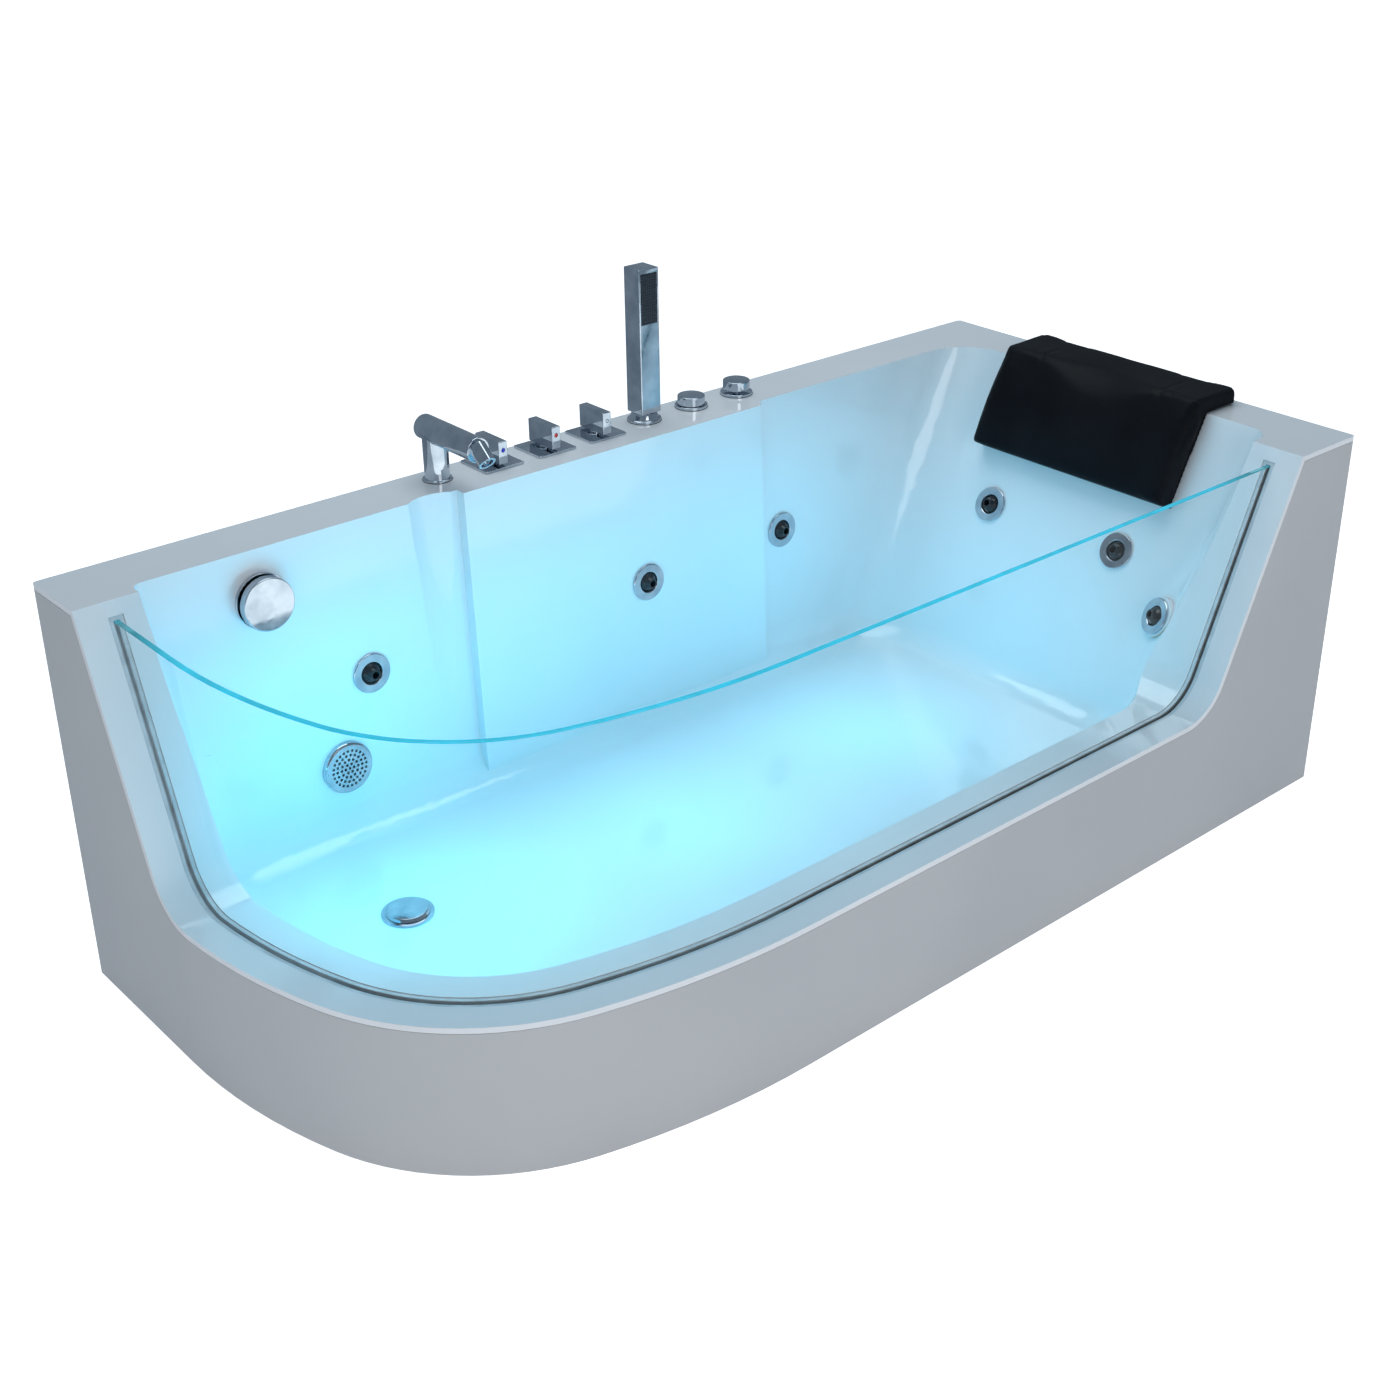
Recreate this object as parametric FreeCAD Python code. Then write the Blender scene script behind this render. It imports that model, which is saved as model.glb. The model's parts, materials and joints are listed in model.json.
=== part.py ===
"""Jetted bathtub with a glass front, in millimetres.

X runs along the tub's length, Y from the open front to the wall behind it, and Z up.
The origin is on the floor, under the middle of the tub.
"""
import FreeCAD, Part
import math
import os

V = FreeCAD.Vector
X_AXIS = V(1, 0, 0)
Y_AXIS = V(0, 1, 0)
Z_AXIS = V(0, 0, 1)

# --- shell -----------------------------------------------------------------
tub_length = 1700.0
tub_width = 800.0
tub_height = 590.0
skin = 8.0                      # acrylic with its glass-fibre backing
left_straight = 265.6           # left side from the rounded front corner to the back
corner_radii = (832.0, 346.0, 1133.0)   # three tangent arcs of the corner, scaled together to fill its depth
corner_turns = (19.1, 55.2, 15.7)       # degrees each arc turns; they add up to 90
plan_corner_radius = 6.0        # the tub's three small corners
plan_corner_least = 2.0
low_rim_height = 220.0
rim_width = 86.0
left_rim_deck = 115.0           # deck left behind the left slanted rim
left_rim_lean = 0.3674          # run per rise of the left slanted rim
right_rim_deck = 136.6
right_rim_lean = 0.440
rim_valley_radius = 79.0

# --- basin -----------------------------------------------------------------
floor_height = 140.0
wall_draft = 0.04               # run per rise of the basin walls
backrest_deck = 85.0
backrest_lean = 0.525
back_deck = 91.0
floor_fillet = 60.0
corner_front_right = (40.0, 120.0)      # plan radius at the deck and at the floor
corner_back_right = (85.0, 125.0)
corner_back_left = (15.0, 100.0)
panel_width = 556.0             # tap panel that stands forward of the back wall
panel_deck = 108.0
panel_step_run = 13.0
scoop_radius = 60.0             # hollow beside the tap panel
scoop_offset = 45.0
scoop_deck = 80.0
scoop_lean = 0.07               # leans in more than the wall, so that the hollow fades out downwards

# --- glass and seal --------------------------------------------------------
glass_inset = 46.0
glass_thickness = 8.0
glass_top = 565.0
glass_bite = 10.0               # how deep the pane stands in the rim
seal_wall = 6.0
seal_floor = 3.0
seal_recess = 1.0

# --- apron -----------------------------------------------------------------
apron_thickness = 6.0
apron_floor_gap = 4.0
seam = 0.3

# --- steel frame -----------------------------------------------------------
rail_width = 30.0
rail_height = 30.0
cross_width = 30.0
cross_height = 40.0
tube_wall = 2.0
long_rail_offset = 200.0        # from the middle line
long_rail_from_left = 115.0
long_rail_from_right = 50.0
cross_rails_from_ends = (200.0, 90.0)   # left and right
cross_rails_beside_panel = (72.0, 52.0)     # left and right of the tap panel
cross_rail_gaps = (60.0, 20.0, 8.0, 8.0)    # behind the front plan line
cross_rail_back_gap = 8.0
foot_front_setback = 42.0       # from a cross rail's front end
foot_back_setback = 57.0
foot_pad_radius = 25.0
foot_pad_height = 8.0
foot_stud_radius = 6.0
locknut_flats = 19.0
locknut_height = 8.0
bracket_leg = 28.0
bracket_height = 40.0
bracket_plate = 2.0
upright_side = 25.0

# --- deck fittings ---------------------------------------------------------
fitting_line = 38.0             # from the back edge to the line of taps
fitting_pitch = 93.8
spout_x = -274.0
shank_radius = 14.0
shank_clearance = 0.5
feed_shank_length = 73.0        # tails that the mixing pipes meet
deck_nut_flats = 40.0
deck_nut_height = 9.0

spout_radius = 18.0
spout_base_radius = 21.0
spout_base_height = 3.0
spout_axis_height = 72.0        # tube axis above the deck
spout_back = 13.0               # from the back edge to the tube's rear end
spout_reach = 132.0
aerator_radius = 12.5
aerator_bore = 9.0
aerator_drop = 40.0             # degrees below level
aerator_length = 30.0
aerator_recess = 5.0
aerator_rise = 3.0              # root above the tube's axis
aerator_bite = 4.0              # how far the root starts inside the tube

plate_side = 66.0
plate_height = 3.5
plate_corner = 2.0
blade_width = 15.0
blade_length = 58.0
blade_height = 34.0
blade_lift = 3.0
blade_edge = 1.2
stem_radius = 8.0
stem_gap = 0.3
spindle_radius = 5.0
spindle_length = 38.0
spindle_room = 2.0              # left under a spindle's end
running_clearance = 0.05
mark_radius = 3.4
mark_depth = 0.8
mark_height = 21.0
valve_radius = 22.0
valve_length = 62.0
inlet_radius = 10.5
inlet_length = 30.0
inlet_offset = 10.0             # behind the barrel's axis, so that a hose clears the pipes below
mixer_radius = 9.0
mixer_wall = 1.5
mixer_drop = 48.0               # pipe axis under the shell's deck

collar_radius = 26.0
collar_height = 4.0
cup_foot_radius = 23.0
cup_radius = 19.0
cup_height = 14.0
handle_width = 37.0
handle_depth = 36.0
handle_height = 223.0
handle_edge = 1.5
handle_shank_radius = 11.0
handle_shank_length = 26.0
handle_clearance = 0.3
spray_width = 31.0
spray_height = 76.0
spray_drop = 7.0
spray_depth = 2.0
spray_recess = 0.6

knob_flange_radius = 25.5
knob_flange_height = 4.5
knob_radius = 21.4
knob_height = 14.0
knob_gap = 0.4
knob_edge = 1.5
knob_spindle_radius = 6.0
knob_spindle_length = 30.0
knob_body_radius = 20.0
knob_body_length = 46.0
button_travel = 4.0

# --- headrest --------------------------------------------------------------
headrest_from_sides = (207.0, 204.0)    # back and front
headrest_over_deck = 26.0
headrest_back_gap = 13.0        # from the tub's right end
headrest_face = 36.0            # thickness down the backrest
headrest_drop = 140.0
headrest_lift = 0.35
headrest_cradle = 26.0
headrest_cradle_half = 150.0
headrest_crown = 5.0
headrest_edge = 7.0
cradle_run = 1.1                # how far the hollow runs back, down and along the face, over its depth
cradle_dip = 0.15
cradle_fall = 1.25
nose_fullness = 0.45            # how far the nose bulges towards its sharp corner
cradle_fullness = 0.24
headrest_stations = (0.15, 0.45, 0.75, 0.97, 1.0)       # shares of the half width
pin_radius = 5.0
pin_length = 30.0
pin_spacing = 220.0
pin_setback = 36.0              # from the headrest's rear to its pins

# --- overflow and waste ----------------------------------------------------
overflow_from_left = 258.0
overflow_height = 519.0
overflow_ring_radius = 38.0
overflow_ring_height = 6.0
overflow_knob_radius = 36.5
overflow_knob_height = 18.0
overflow_knob_gap = 5.0         # water runs in under the knob
overflow_knob_rim = 4.0
overflow_spindle_length = 18.0  # behind the wall's surface
overflow_slot_width = 10.0
overflow_slot_count = 6
overflow_slot_start = 12.0
overflow_slot_end = 23.0
overflow_hole_radius = 25.0
overflow_body_radius = 30.0
overflow_body_length = 30.0
overflow_socket_drop = 45.0     # socket's lower end under the overflow's axis
overflow_socket_length = 18.0
overflow_pipe_radius = 16.0
overflow_pipe_bend = 60.0
overflow_shift_top = 150.0      # heights over the waste pipe where the pipe shifts to the drain
overflow_shift_foot = 70.0
pipe_wall = 2.5
drain_from_left = 290.0
drain_y = 60.0
drain_flange_radius = 35.0
drain_flange_height = 3.0
drain_throat_radius = 24.0
drain_throat_wall = 4.0
drain_throat_drop = 12.0        # throat below the shell's underside
guide_wall = 3.0
guide_height = 6.0
drain_body_radius = 30.0
plug_radius = 30.0
plug_height = 5.0
plug_taper = 3.0
plug_gap = 0.4
plug_stem_radius = 5.0
plug_stem_length = 40.0
waste_pipe_radius = 22.0
waste_cup_margin = 3.0          # cup's underside below the pipe's
waste_drop = 12.0               # waste pipe's underside below the cross rails
spigot_radius = 20.0
spigot_length = 42.0
spigot_setback = 3.0            # from the back edge to the end of the waste outlet
cable_radius = 3.0
cable_bend = 9.0
cable_side = 12.0               # beside the overflow pipe

# --- jets, suction, lamp ---------------------------------------------------
jet_height = 365.0
back_jet_beside_panel = (166.0, 52.0)    # left and right of the tap panel
panel_jet_x = 37.0
rest_jet_height = 373.0
rest_jets_from_sides = (268.0, 271.0)   # back and front
corner_jet_height = 312.0
corner_jet_turn = 24.0
jet_flange_radius = 29.0
jet_flange_height = 4.0
jet_barrel_radius = 20.0
jet_body_radius = 24.0
jet_body_length = 44.0
jet_ball_radius = 16.0
jet_ball_depth = 6.0            # ball's centre behind the wall's surface
jet_ball_cut = 12.0             # flat of the ball behind its centre
jet_barrel_length = 14.0        # behind the shell
jet_ball_gap = 0.08
jet_nozzle_bore = 5.0
jet_lip_wall = 2.5
jet_lip_start = 7.0
jet_lip_length = 6.0
jet_mouth_depth = 6.0
jet_chamber_radius = 9.9
jet_chamber_floor = 8.0
land_radius = 33.0
land_rise = 7.5
suction_from_left = 350.0
suction_height = 240.0
suction_radius = 38.0
suction_depth = 9.0
suction_hole_radius = 24.0
suction_skin = 3.0
suction_rim = 4.0
suction_hole_pitch = 6.6
suction_small_hole = 2.0
suction_laps = 4
suction_body_length = 66.0
suction_bend = 45.0
lamp_from_back = 200.0
lamp_height = 255.0
lamp_radius = 17.0
lamp_depth = 6.0
lamp_body_radius = 12.0
lamp_body_length = 18.0
lamp_wall = 3.0
lens_edge = 1.2

# --- pipes -----------------------------------------------------------------
pipe_line = 66.0                # from the back edge to the pipes behind the basin
suction_pipe_radius = 21.0
water_pipe_radius = 17.0
water_pipe_height = 305.0
air_pipe_radius = 11.0
pipe_end = 3.0                  # thickness of the end caps
thin_wall = 2.0
air_pipe_height = 425.0
branch_radius = 7.0
branch_offset = 20.0            # on leaning jets: air joins above the middle, water below it
rest_pipe_from_right = 105.0
rest_pipe_bend = 60.0

# --- pump and control box --------------------------------------------------
pump_from_right = 160.0
pump_inlet_y = 205.0
pump_plate_thickness = 4.0
pump_plate_width = 96.0
bush_radius = 14.0
bush_height = 6.0
bush_offset = 30.0
casing_radius = 50.0
casing_length = 56.0
casing_wall = 6.0
inlet_sleeve = 18.0
outlet_radius = 13.0
outlet_rise = 34.0              # outlet axis above the pump's axis
impeller_radius = 40.0
impeller_hub = 13.0
impeller_disc = 4.0
impeller_width = 20.0
impeller_blades = 6
impeller_blade = 3.0
impeller_gap = 8.0
motor_radius = 48.0
motor_length = 160.0
motor_wall = 4.0
motor_end_wall = 12.0
shaft_room = 1.0
fin_thickness = 3.0
fin_height = 5.0
fin_inset = 25.0
fin_turn = 15
stator_bore = 30.0
stator_length = 80.0
rotor_radius = 29.0
rotor_length = 78.0
shaft_radius = 7.0
bearing_radius = 17.0
bearing_width = 9.0
bearing_inset = 1.5
fan_radius = 38.0
fan_width = 10.0
fan_gap = 4.0
fan_blades = 8
fan_blade = 2.0
fan_cover_slots = 12
fan_cover_slot = 4.0
fan_cover_length = 28.0
fan_cover_wall = 2.0
saddle_length = 30.0
saddle_inset = 10.0
saddle_width = 48.0
control_width = 130.0
control_depth = 62.0
control_height = 120.0
control_wall = 3.0
control_lid = 5.0
control_lid_overhang = 2.0
control_base_height = 150.0
gland_radius = 9.0
gland_length = 18.0
gland_flats = 22.0
tube_radius = 3.0
tube_height = 480.0
tube_bend = 20.0

# --- places worked out from the sizes ---------------------------------------
left = -tub_length / 2
right = tub_length / 2
front = -tub_width / 2
back = tub_width / 2
under_deck = tub_height - skin
under_floor = floor_height - skin
tap_y = back - fitting_line
pipe_y = back - pipe_line
overflow_x = left + overflow_from_left
drain_x = left + drain_from_left
suction_x = left + suction_from_left
lamp_y = back - lamp_from_back
rest_pipe_x = right - rest_pipe_from_right
pump_x = right - pump_from_right
back_jet_x = (-panel_width / 2 - back_jet_beside_panel[0], panel_jet_x,
              panel_width / 2 + back_jet_beside_panel[1])
headrest_width = tub_width - sum(headrest_from_sides)
headrest_centre_y = (headrest_from_sides[1] - headrest_from_sides[0]) / 2
rest_jet_y = (back - rest_jets_from_sides[0], front + rest_jets_from_sides[1])
cross_rail_x = (left + cross_rails_from_ends[0], -panel_width / 2 - cross_rails_beside_panel[0],
                panel_width / 2 + cross_rails_beside_panel[1], right - cross_rails_from_ends[1])
cross_rail_back = back - cross_rail_back_gap
rail_top = under_floor
rail_base = rail_top - rail_height
cross_base = rail_base - cross_height
above = tub_height + 60.0


def box(x0, x1, y0, y1, z0, z1):
    """Block between two corners."""
    return Part.makeBox(x1 - x0, y1 - y0, z1 - z0, V(x0, y0, z0))


def rod(start, axis, length, radius):
    """Solid cylinder that starts at a point and runs along an axis."""
    return Part.makeCylinder(radius, length, start, axis)


def tube(start, axis, length, radius, bore):
    """Cylinder with a hole right through it."""
    return rod(start, axis, length, radius).cut(rod(start, axis, length, bore))


def joined(shapes):
    """One solid from pieces that touch or overlap."""
    return shapes[0].multiFuse(shapes[1:]).removeSplitter()


def group(shapes):
    """Separate solids kept together in one node."""
    return Part.makeCompound(shapes)


def seated(shape, point, normal):
    """Turns a shape drawn on the XY plane so that its +Z is the normal, and puts it at the point."""
    moved = shape.copy()
    moved.Placement = FreeCAD.Placement(point, FreeCAD.Rotation(Z_AXIS, normal)).multiply(moved.Placement)
    return moved


def hex_prism(flats, height, bore, base):
    """Hexagon nut with its hole, standing on a point."""
    radius = flats / math.sqrt(3)
    corners = [V(radius * math.cos(math.radians(60 * k)), radius * math.sin(math.radians(60 * k)), 0)
               for k in range(7)]
    nut = Part.Face(Part.makePolygon(corners)).extrude(V(0, 0, height))
    nut = nut.cut(rod(V(0, 0, 0), Z_AXIS, height, bore))
    nut.translate(base)
    return nut


def pipe_run(points, radius, bend):
    """Round bar along straight runs joined by tangent arcs."""
    edges = []
    start = points[0]
    for before, corner, after in zip(points, points[1:], points[2:]):
        come = (corner - before).normalize()
        go = (after - corner).normalize()
        turn = come.getAngle(go)
        reach = bend * math.tan(turn / 2)
        arc_start = corner - come * reach
        arc_end = corner + go * reach
        inward = (go - come).normalize()
        arc_middle = corner + inward * (bend / math.cos(turn / 2) - bend)
        edges.append(Part.LineSegment(start, arc_start).toShape())
        edges.append(Part.Arc(arc_start, arc_middle, arc_end).toShape())
        start = arc_end
    edges.append(Part.LineSegment(start, points[-1]).toShape())
    path = Part.Wire(edges)
    section = Part.Wire(Part.makeCircle(radius, points[0], points[1] - points[0]))
    return path.makePipeShell([section], True, False)


def pipe(points, radius, bend, wall):
    """Hollow pipe along straight runs joined by tangent arcs."""
    return pipe_run(points, radius, bend).cut(pipe_run(points, radius - wall, bend))


# --- shell outline and rim ---------------------------------------------------
def corner_arcs():
    """Centres, radii and start and end headings of the rounded front corner's arcs."""
    headings = [0.0]
    for turn in corner_turns:
        headings.append(headings[-1] + math.radians(turn))
    spans = list(zip(corner_radii, headings, headings[1:]))
    x = left
    y = back - left_straight
    scale = (y - front) / sum(r * (math.sin(b) - math.sin(a)) for r, a, b in spans)
    arcs = []
    for size, start, end in spans:
        radius = scale * size
        cx = x + radius * math.cos(start)
        cy = y + radius * math.sin(start)
        arcs.append((cx, cy, radius, start, end))
        x = cx - radius * math.cos(end)
        y = cy - radius * math.sin(end)
    return arcs


def front_line(x):
    """Y of the tub's front plan line at a place along the tub."""
    for cx, cy, radius, start, end in corner_arcs():
        if x < cx - radius * math.cos(end):
            return cy - math.sqrt(radius ** 2 - (x - cx) ** 2)
    return front


def corner_edge(cx, cy, radius, start_degrees, z):
    """Quarter-circle edge, turning left from its start angle."""
    points = []
    for degrees in (start_degrees, start_degrees + 45, start_degrees + 90):
        angle = math.radians(degrees)
        points.append(V(cx + radius * math.cos(angle), cy + radius * math.sin(angle), z))
    return points


def outline(side, right_inset, back_inset, radii, z):
    """Closed plan line of the tub, drawn in from its sides."""
    edges = []
    first = None
    for cx, cy, radius, start, end in corner_arcs():
        points = []
        for heading in (start, (start + end) / 2, end):
            reach = radius - side
            points.append(V(cx - reach * math.cos(heading), cy - reach * math.sin(heading), z))
        edges.append(Part.Arc(*points).toShape())
        first = first or points[0]
        last = points[2]
    front_right, back_right, back_left = radii
    corners = (
        corner_edge(right - right_inset - front_right, front + side + front_right, front_right, -90, z),
        corner_edge(right - right_inset - back_right, back - back_inset - back_right, back_right, 0, z),
        corner_edge(left + side + back_left, back - back_inset - back_left, back_left, 90, z))
    for points in corners:
        edges.append(Part.LineSegment(last, points[0]).toShape())
        edges.append(Part.Arc(*points).toShape())
        last = points[2]
    edges.append(Part.LineSegment(last, first).toShape())
    return Part.Wire(edges)


def outline_block(inset, z0, z1):
    """Upright block inside the plan line."""
    radius = max(plan_corner_radius - inset, plan_corner_least)
    wire = outline(inset, inset, inset, (radius, radius, radius), z0)
    return Part.Face(wire).extrude(V(0, 0, z1 - z0))


def rim_profile(edge, lean, down):
    """Points and edges of the region above a slanted rim, as (run, height)."""
    angle = math.atan(lean)
    turn = math.pi / 2 - angle
    radius = rim_valley_radius + down
    low = low_rim_height - down
    high = tub_height - down
    shift = down * math.sqrt(1 + lean * lean)
    valley = edge + lean * (low - tub_height) + shift
    crest = edge + lean * (high - tub_height) + shift
    reach = radius * math.tan(turn / 2)
    middle = math.radians(-90) + turn / 2
    centre = (valley - reach, low + radius)
    arc = ((valley - reach, low),
           (centre[0] + radius * math.cos(middle), centre[1] + radius * math.sin(middle)),
           (valley + reach * math.sin(angle), low + reach * math.cos(angle)))
    return low, high, crest, arc


def above_profile(edge, lean, down, place, sweep):
    """Block of air above one slanted rim; place turns (run, height) into a point."""
    far = 2 * tub_length
    low, high, crest, arc = rim_profile(edge, lean, down)
    start = place(-far, low)
    edges = [
        Part.LineSegment(start, place(*arc[0])).toShape(),
        Part.Arc(place(*arc[0]), place(*arc[1]), place(*arc[2])).toShape(),
        Part.LineSegment(place(*arc[2]), place(crest, high)).toShape(),
        Part.LineSegment(place(crest, high), place(far, high)).toShape(),
        Part.LineSegment(place(far, high), place(far, above)).toShape(),
        Part.LineSegment(place(far, above), place(-far, above)).toShape(),
        Part.LineSegment(place(-far, above), start).toShape()]
    return Part.Face(Part.Wire(edges)).extrude(sweep)


def above_rim(down):
    """Air above the deck and the rims, or above a surface that lies under them."""
    left_air = above_profile(back - left_rim_deck, left_rim_lean, down,
                             lambda run, height: V(2 * left, run, height), V(2 * tub_length, 0, 0))
    right_air = above_profile(right - right_rim_deck, right_rim_lean, down,
                              lambda run, height: V(run, 2 * back, height), V(0, -2 * tub_width, 0))
    return left_air.common(right_air)


# --- basin ---------------------------------------------------------------------
def wall_line(inset, z, lean=wall_draft):
    """Inset of a basin wall at a height."""
    return inset + lean * (tub_height - z)


def basin_outline(grow, z):
    """Plan line of the basin at a height, made larger all round by grow."""
    share = (tub_height - z) / (tub_height - floor_height)
    radii = [top + (foot - top) * share + grow
             for top, foot in (corner_front_right, corner_back_right, corner_back_left)]
    return outline(wall_line(rim_width, z) - grow, wall_line(backrest_deck, z, backrest_lean) - grow,
                   wall_line(back_deck, z) - grow, radii, z)


def leaned(face, foot, lean):
    """Sweeps a plan face down to a height, leaning to the front."""
    depth = above - foot
    return face.extrude(V(0, -lean * depth, -depth))


def tap_panel(grow):
    """The part of the back wall that stands forward under the taps."""
    top_shift = wall_draft * (above - tub_height)
    half = panel_width / 2 - grow
    face_y = back - panel_deck + grow + top_shift
    wall_y = back - back_deck + grow + top_shift
    corners = [V(-half, face_y, above), V(half, face_y, above), V(half + panel_step_run, wall_y, above),
               V(half + panel_step_run, back, above), V(-half, back, above), V(-half, face_y, above)]
    return leaned(Part.Face(Part.makePolygon(corners)), floor_height - 2 * skin, wall_draft)


def wall_scoop(grow):
    """Hollow between the left part of the back wall and the tap panel, which fades out downwards."""
    top_shift = scoop_lean * (above - tub_height)
    centre = V(-panel_width / 2 - scoop_offset, back - scoop_deck - scoop_radius + top_shift, above)
    circle = Part.Wire(Part.makeCircle(scoop_radius + grow, centre))
    return leaned(Part.Face(circle), floor_height + floor_fillet, scoop_lean)


def corner_jet_place():
    """Point on the backrest's rounded front edge, and the normal there."""
    z = corner_jet_height
    share = (tub_height - z) / (tub_height - floor_height)
    radius = corner_front_right[0] + (corner_front_right[1] - corner_front_right[0]) * share
    turn = math.radians(corner_jet_turn)
    centre_x = right - wall_line(backrest_deck, z, backrest_lean) - radius
    centre_y = front + wall_line(rim_width, z) + radius
    point = V(centre_x + radius * math.cos(turn), centre_y - radius * math.sin(turn), z)
    normal = V(-math.cos(turn), math.sin(turn), backrest_lean * math.cos(turn)).normalize()
    return point, normal


def basin(grow):
    """The space inside the basin, made larger all round by grow."""
    low = floor_height - grow
    loft = Part.makeLoft([basin_outline(grow, low), basin_outline(grow, above)], True, True)
    foot = [edge for edge in loft.Edges if abs(edge.BoundBox.ZMax - low) < 0.001]
    space = loft.makeFillet(floor_fillet + grow, foot)
    space = space.fuse(wall_scoop(grow))
    space = space.cut(tap_panel(grow))
    point, normal = corner_jet_place()
    land = rod(point - normal * 60, normal, 60 + land_rise - grow, land_radius - grow)
    return space.cut(land).removeSplitter()


basin_space = basin(0)
basin_back = basin(skin)
rim_air = above_rim(0)

# --- walls that the fittings sit on ------------------------------------------------
back_normal = V(0, -1, wall_draft).normalize()
rest_normal = V(-1, 0, backrest_lean).normalize()
left_normal = V(1, 0, wall_draft).normalize()


def on_back_wall(x, z):
    """Point of the back wall's surface."""
    return V(x, back - wall_line(back_deck, z), z)


def on_tap_panel(x, z):
    """Point of the tap panel's surface."""
    return V(x, back - wall_line(panel_deck, z), z)


def on_backrest(y, z):
    """Point of the backrest's surface."""
    return V(right - wall_line(backrest_deck, z, backrest_lean), y, z)


def on_left_wall(y, z):
    """Point of the left wall's surface."""
    return V(left + wall_line(rim_width, z), y, z)


overflow_at = on_back_wall(overflow_x, overflow_height)
suction_at = on_back_wall(suction_x, suction_height)
lamp_at = on_left_wall(lamp_y, lamp_height)
drain_at = V(drain_x, drain_y, floor_height)
corner_point, corner_normal = corner_jet_place()
jets = [(on_back_wall(back_jet_x[0], jet_height), back_normal),
        (on_tap_panel(back_jet_x[1], jet_height), back_normal),
        (on_back_wall(back_jet_x[2], jet_height), back_normal),
        (on_backrest(rest_jet_y[0], rest_jet_height), rest_normal),
        (on_backrest(rest_jet_y[1], rest_jet_height), rest_normal),
        (corner_point + corner_normal * land_rise, corner_normal)]

fitting_x = [spout_x + fitting_pitch * k for k in range(7)]
cold_x, hot_x, diverter_x, shower_x, regulator_x, button_x = fitting_x[1:]


def wall_hole(point, normal, radius):
    """Hole through the shell's skin at a fitting."""
    return rod(point - normal * 3 * skin, normal, 4 * skin, radius)


def seal_zone():
    """The front and left part of the tub, where the glass stands."""
    reach = groove_depth + skin
    return box(left, right - right_rim_deck + reach, front, back - left_rim_deck + reach, 0, tub_height)


def ring(outer, inner, down, top):
    """Band between two insets that stands above a line under the rim."""
    band = outline_block(outer, 0, top).cut(outline_block(inner, 0, top))
    return band.common(above_rim(down)).common(seal_zone())


groove_outer = glass_inset - seal_wall
groove_inner = glass_inset + glass_thickness + seal_wall
groove_depth = glass_bite + seal_floor
groove_top = glass_top + seal_wall


def make_shell():
    """Acrylic shell: deck, rims, basin and the channel that the glass stands in."""
    groove = ring(groove_outer, groove_inner, groove_depth, groove_top)
    channel = ring(groove_outer - skin, groove_inner + skin, groove_depth + skin, groove_top + skin)
    block = outline_block(0, 0, tub_height).cut(rim_air)
    hollow = outline_block(-skin, -skin, above).cut(above_rim(skin)).cut(basin_back).cut(channel)
    shell = block.cut(basin_space).cut(hollow).cut(groove)
    holes = [rod(V(x, tap_y, 0), Z_AXIS, above, shank_radius + shank_clearance) for x in fitting_x]
    holes += [wall_hole(point, normal, jet_barrel_radius + shank_clearance) for point, normal in jets]
    holes.append(wall_hole(overflow_at, back_normal, overflow_hole_radius))
    holes.append(wall_hole(suction_at, back_normal, suction_hole_radius))
    holes.append(wall_hole(lamp_at, left_normal, lamp_body_radius + shank_clearance))
    holes.append(wall_hole(drain_at, Z_AXIS, drain_throat_radius))
    holes += [rod(V(pin_x, y, under_deck), Z_AXIS, skin, pin_radius) for y in pin_y]
    return shell.cut(group(holes))


def make_apron():
    """Panel that closes the left end and the front, just under the shell's edge."""
    band = outline_block(0, apron_floor_gap, tub_height)
    band = band.cut(outline_block(apron_thickness, 0, above))
    band = band.cut(above_rim(skin + seam))
    band = band.cut(box(left + apron_thickness, right + 1, back - 2 * apron_thickness, back + 1, -1, above))
    return band.cut(box(right - 2 * apron_thickness, right + 1, front + apron_thickness, back + 1, -1, above))


def make_glass():
    """Bent pane with a level top edge."""
    return ring(glass_inset, glass_inset + glass_thickness, glass_bite, glass_top)


def make_seal(glass):
    """Rubber bedding between the pane and the rim."""
    bed = ring(groove_outer, groove_inner, groove_depth, groove_top)
    return bed.cut(glass).cut(above_rim(seal_recess))


# --- frame -------------------------------------------------------------------------
def square_tube(x0, x1, y0, y1, z0, z1, along):
    """Square steel tube, open at both ends."""
    w = tube_wall
    bore = {"x": (x0, x1, y0 + w, y1 - w, z0 + w, z1 - w),
            "y": (x0 + w, x1 - w, y0, y1, z0 + w, z1 - w),
            "z": (x0 + w, x1 - w, y0 + w, y1 - w, z0, z1)}[along]
    return box(x0, x1, y0, y1, z0, z1).cut(box(*bore))


def make_long_rails():
    """Two rails under the basin's floor."""
    half = rail_width / 2
    start = left + long_rail_from_left
    end = right - long_rail_from_right
    return [square_tube(start, end, y - half, y + half, rail_base, rail_top, "x")
            for y in (-long_rail_offset, long_rail_offset)]


cross_rail_front = [front_line(x - cross_width / 2) + gap for x, gap in zip(cross_rail_x, cross_rail_gaps)]


def make_cross_rails():
    """Rails across the tub, under the long ones."""
    half = cross_width / 2
    return [square_tube(x - half, x + half, start, cross_rail_back, cross_base, rail_base, "y")
            for x, start in zip(cross_rail_x, cross_rail_front)]


upright_places = [(x, cross_rail_back - upright_side / 2) for x in cross_rail_x]
upright_places.append((cross_rail_x[3], cross_rail_front[3] + upright_side / 2))


def make_uprights():
    """Posts from the cross rails to the underside of the deck."""
    half = upright_side / 2
    return [square_tube(x - half, x + half, y - half, y + half, rail_base, under_deck, "z")
            for x, y in upright_places]


foot_places = [(x, y) for x, start in zip(cross_rail_x, cross_rail_front)
               for y in (start + foot_front_setback, cross_rail_back - foot_back_setback)]


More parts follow.
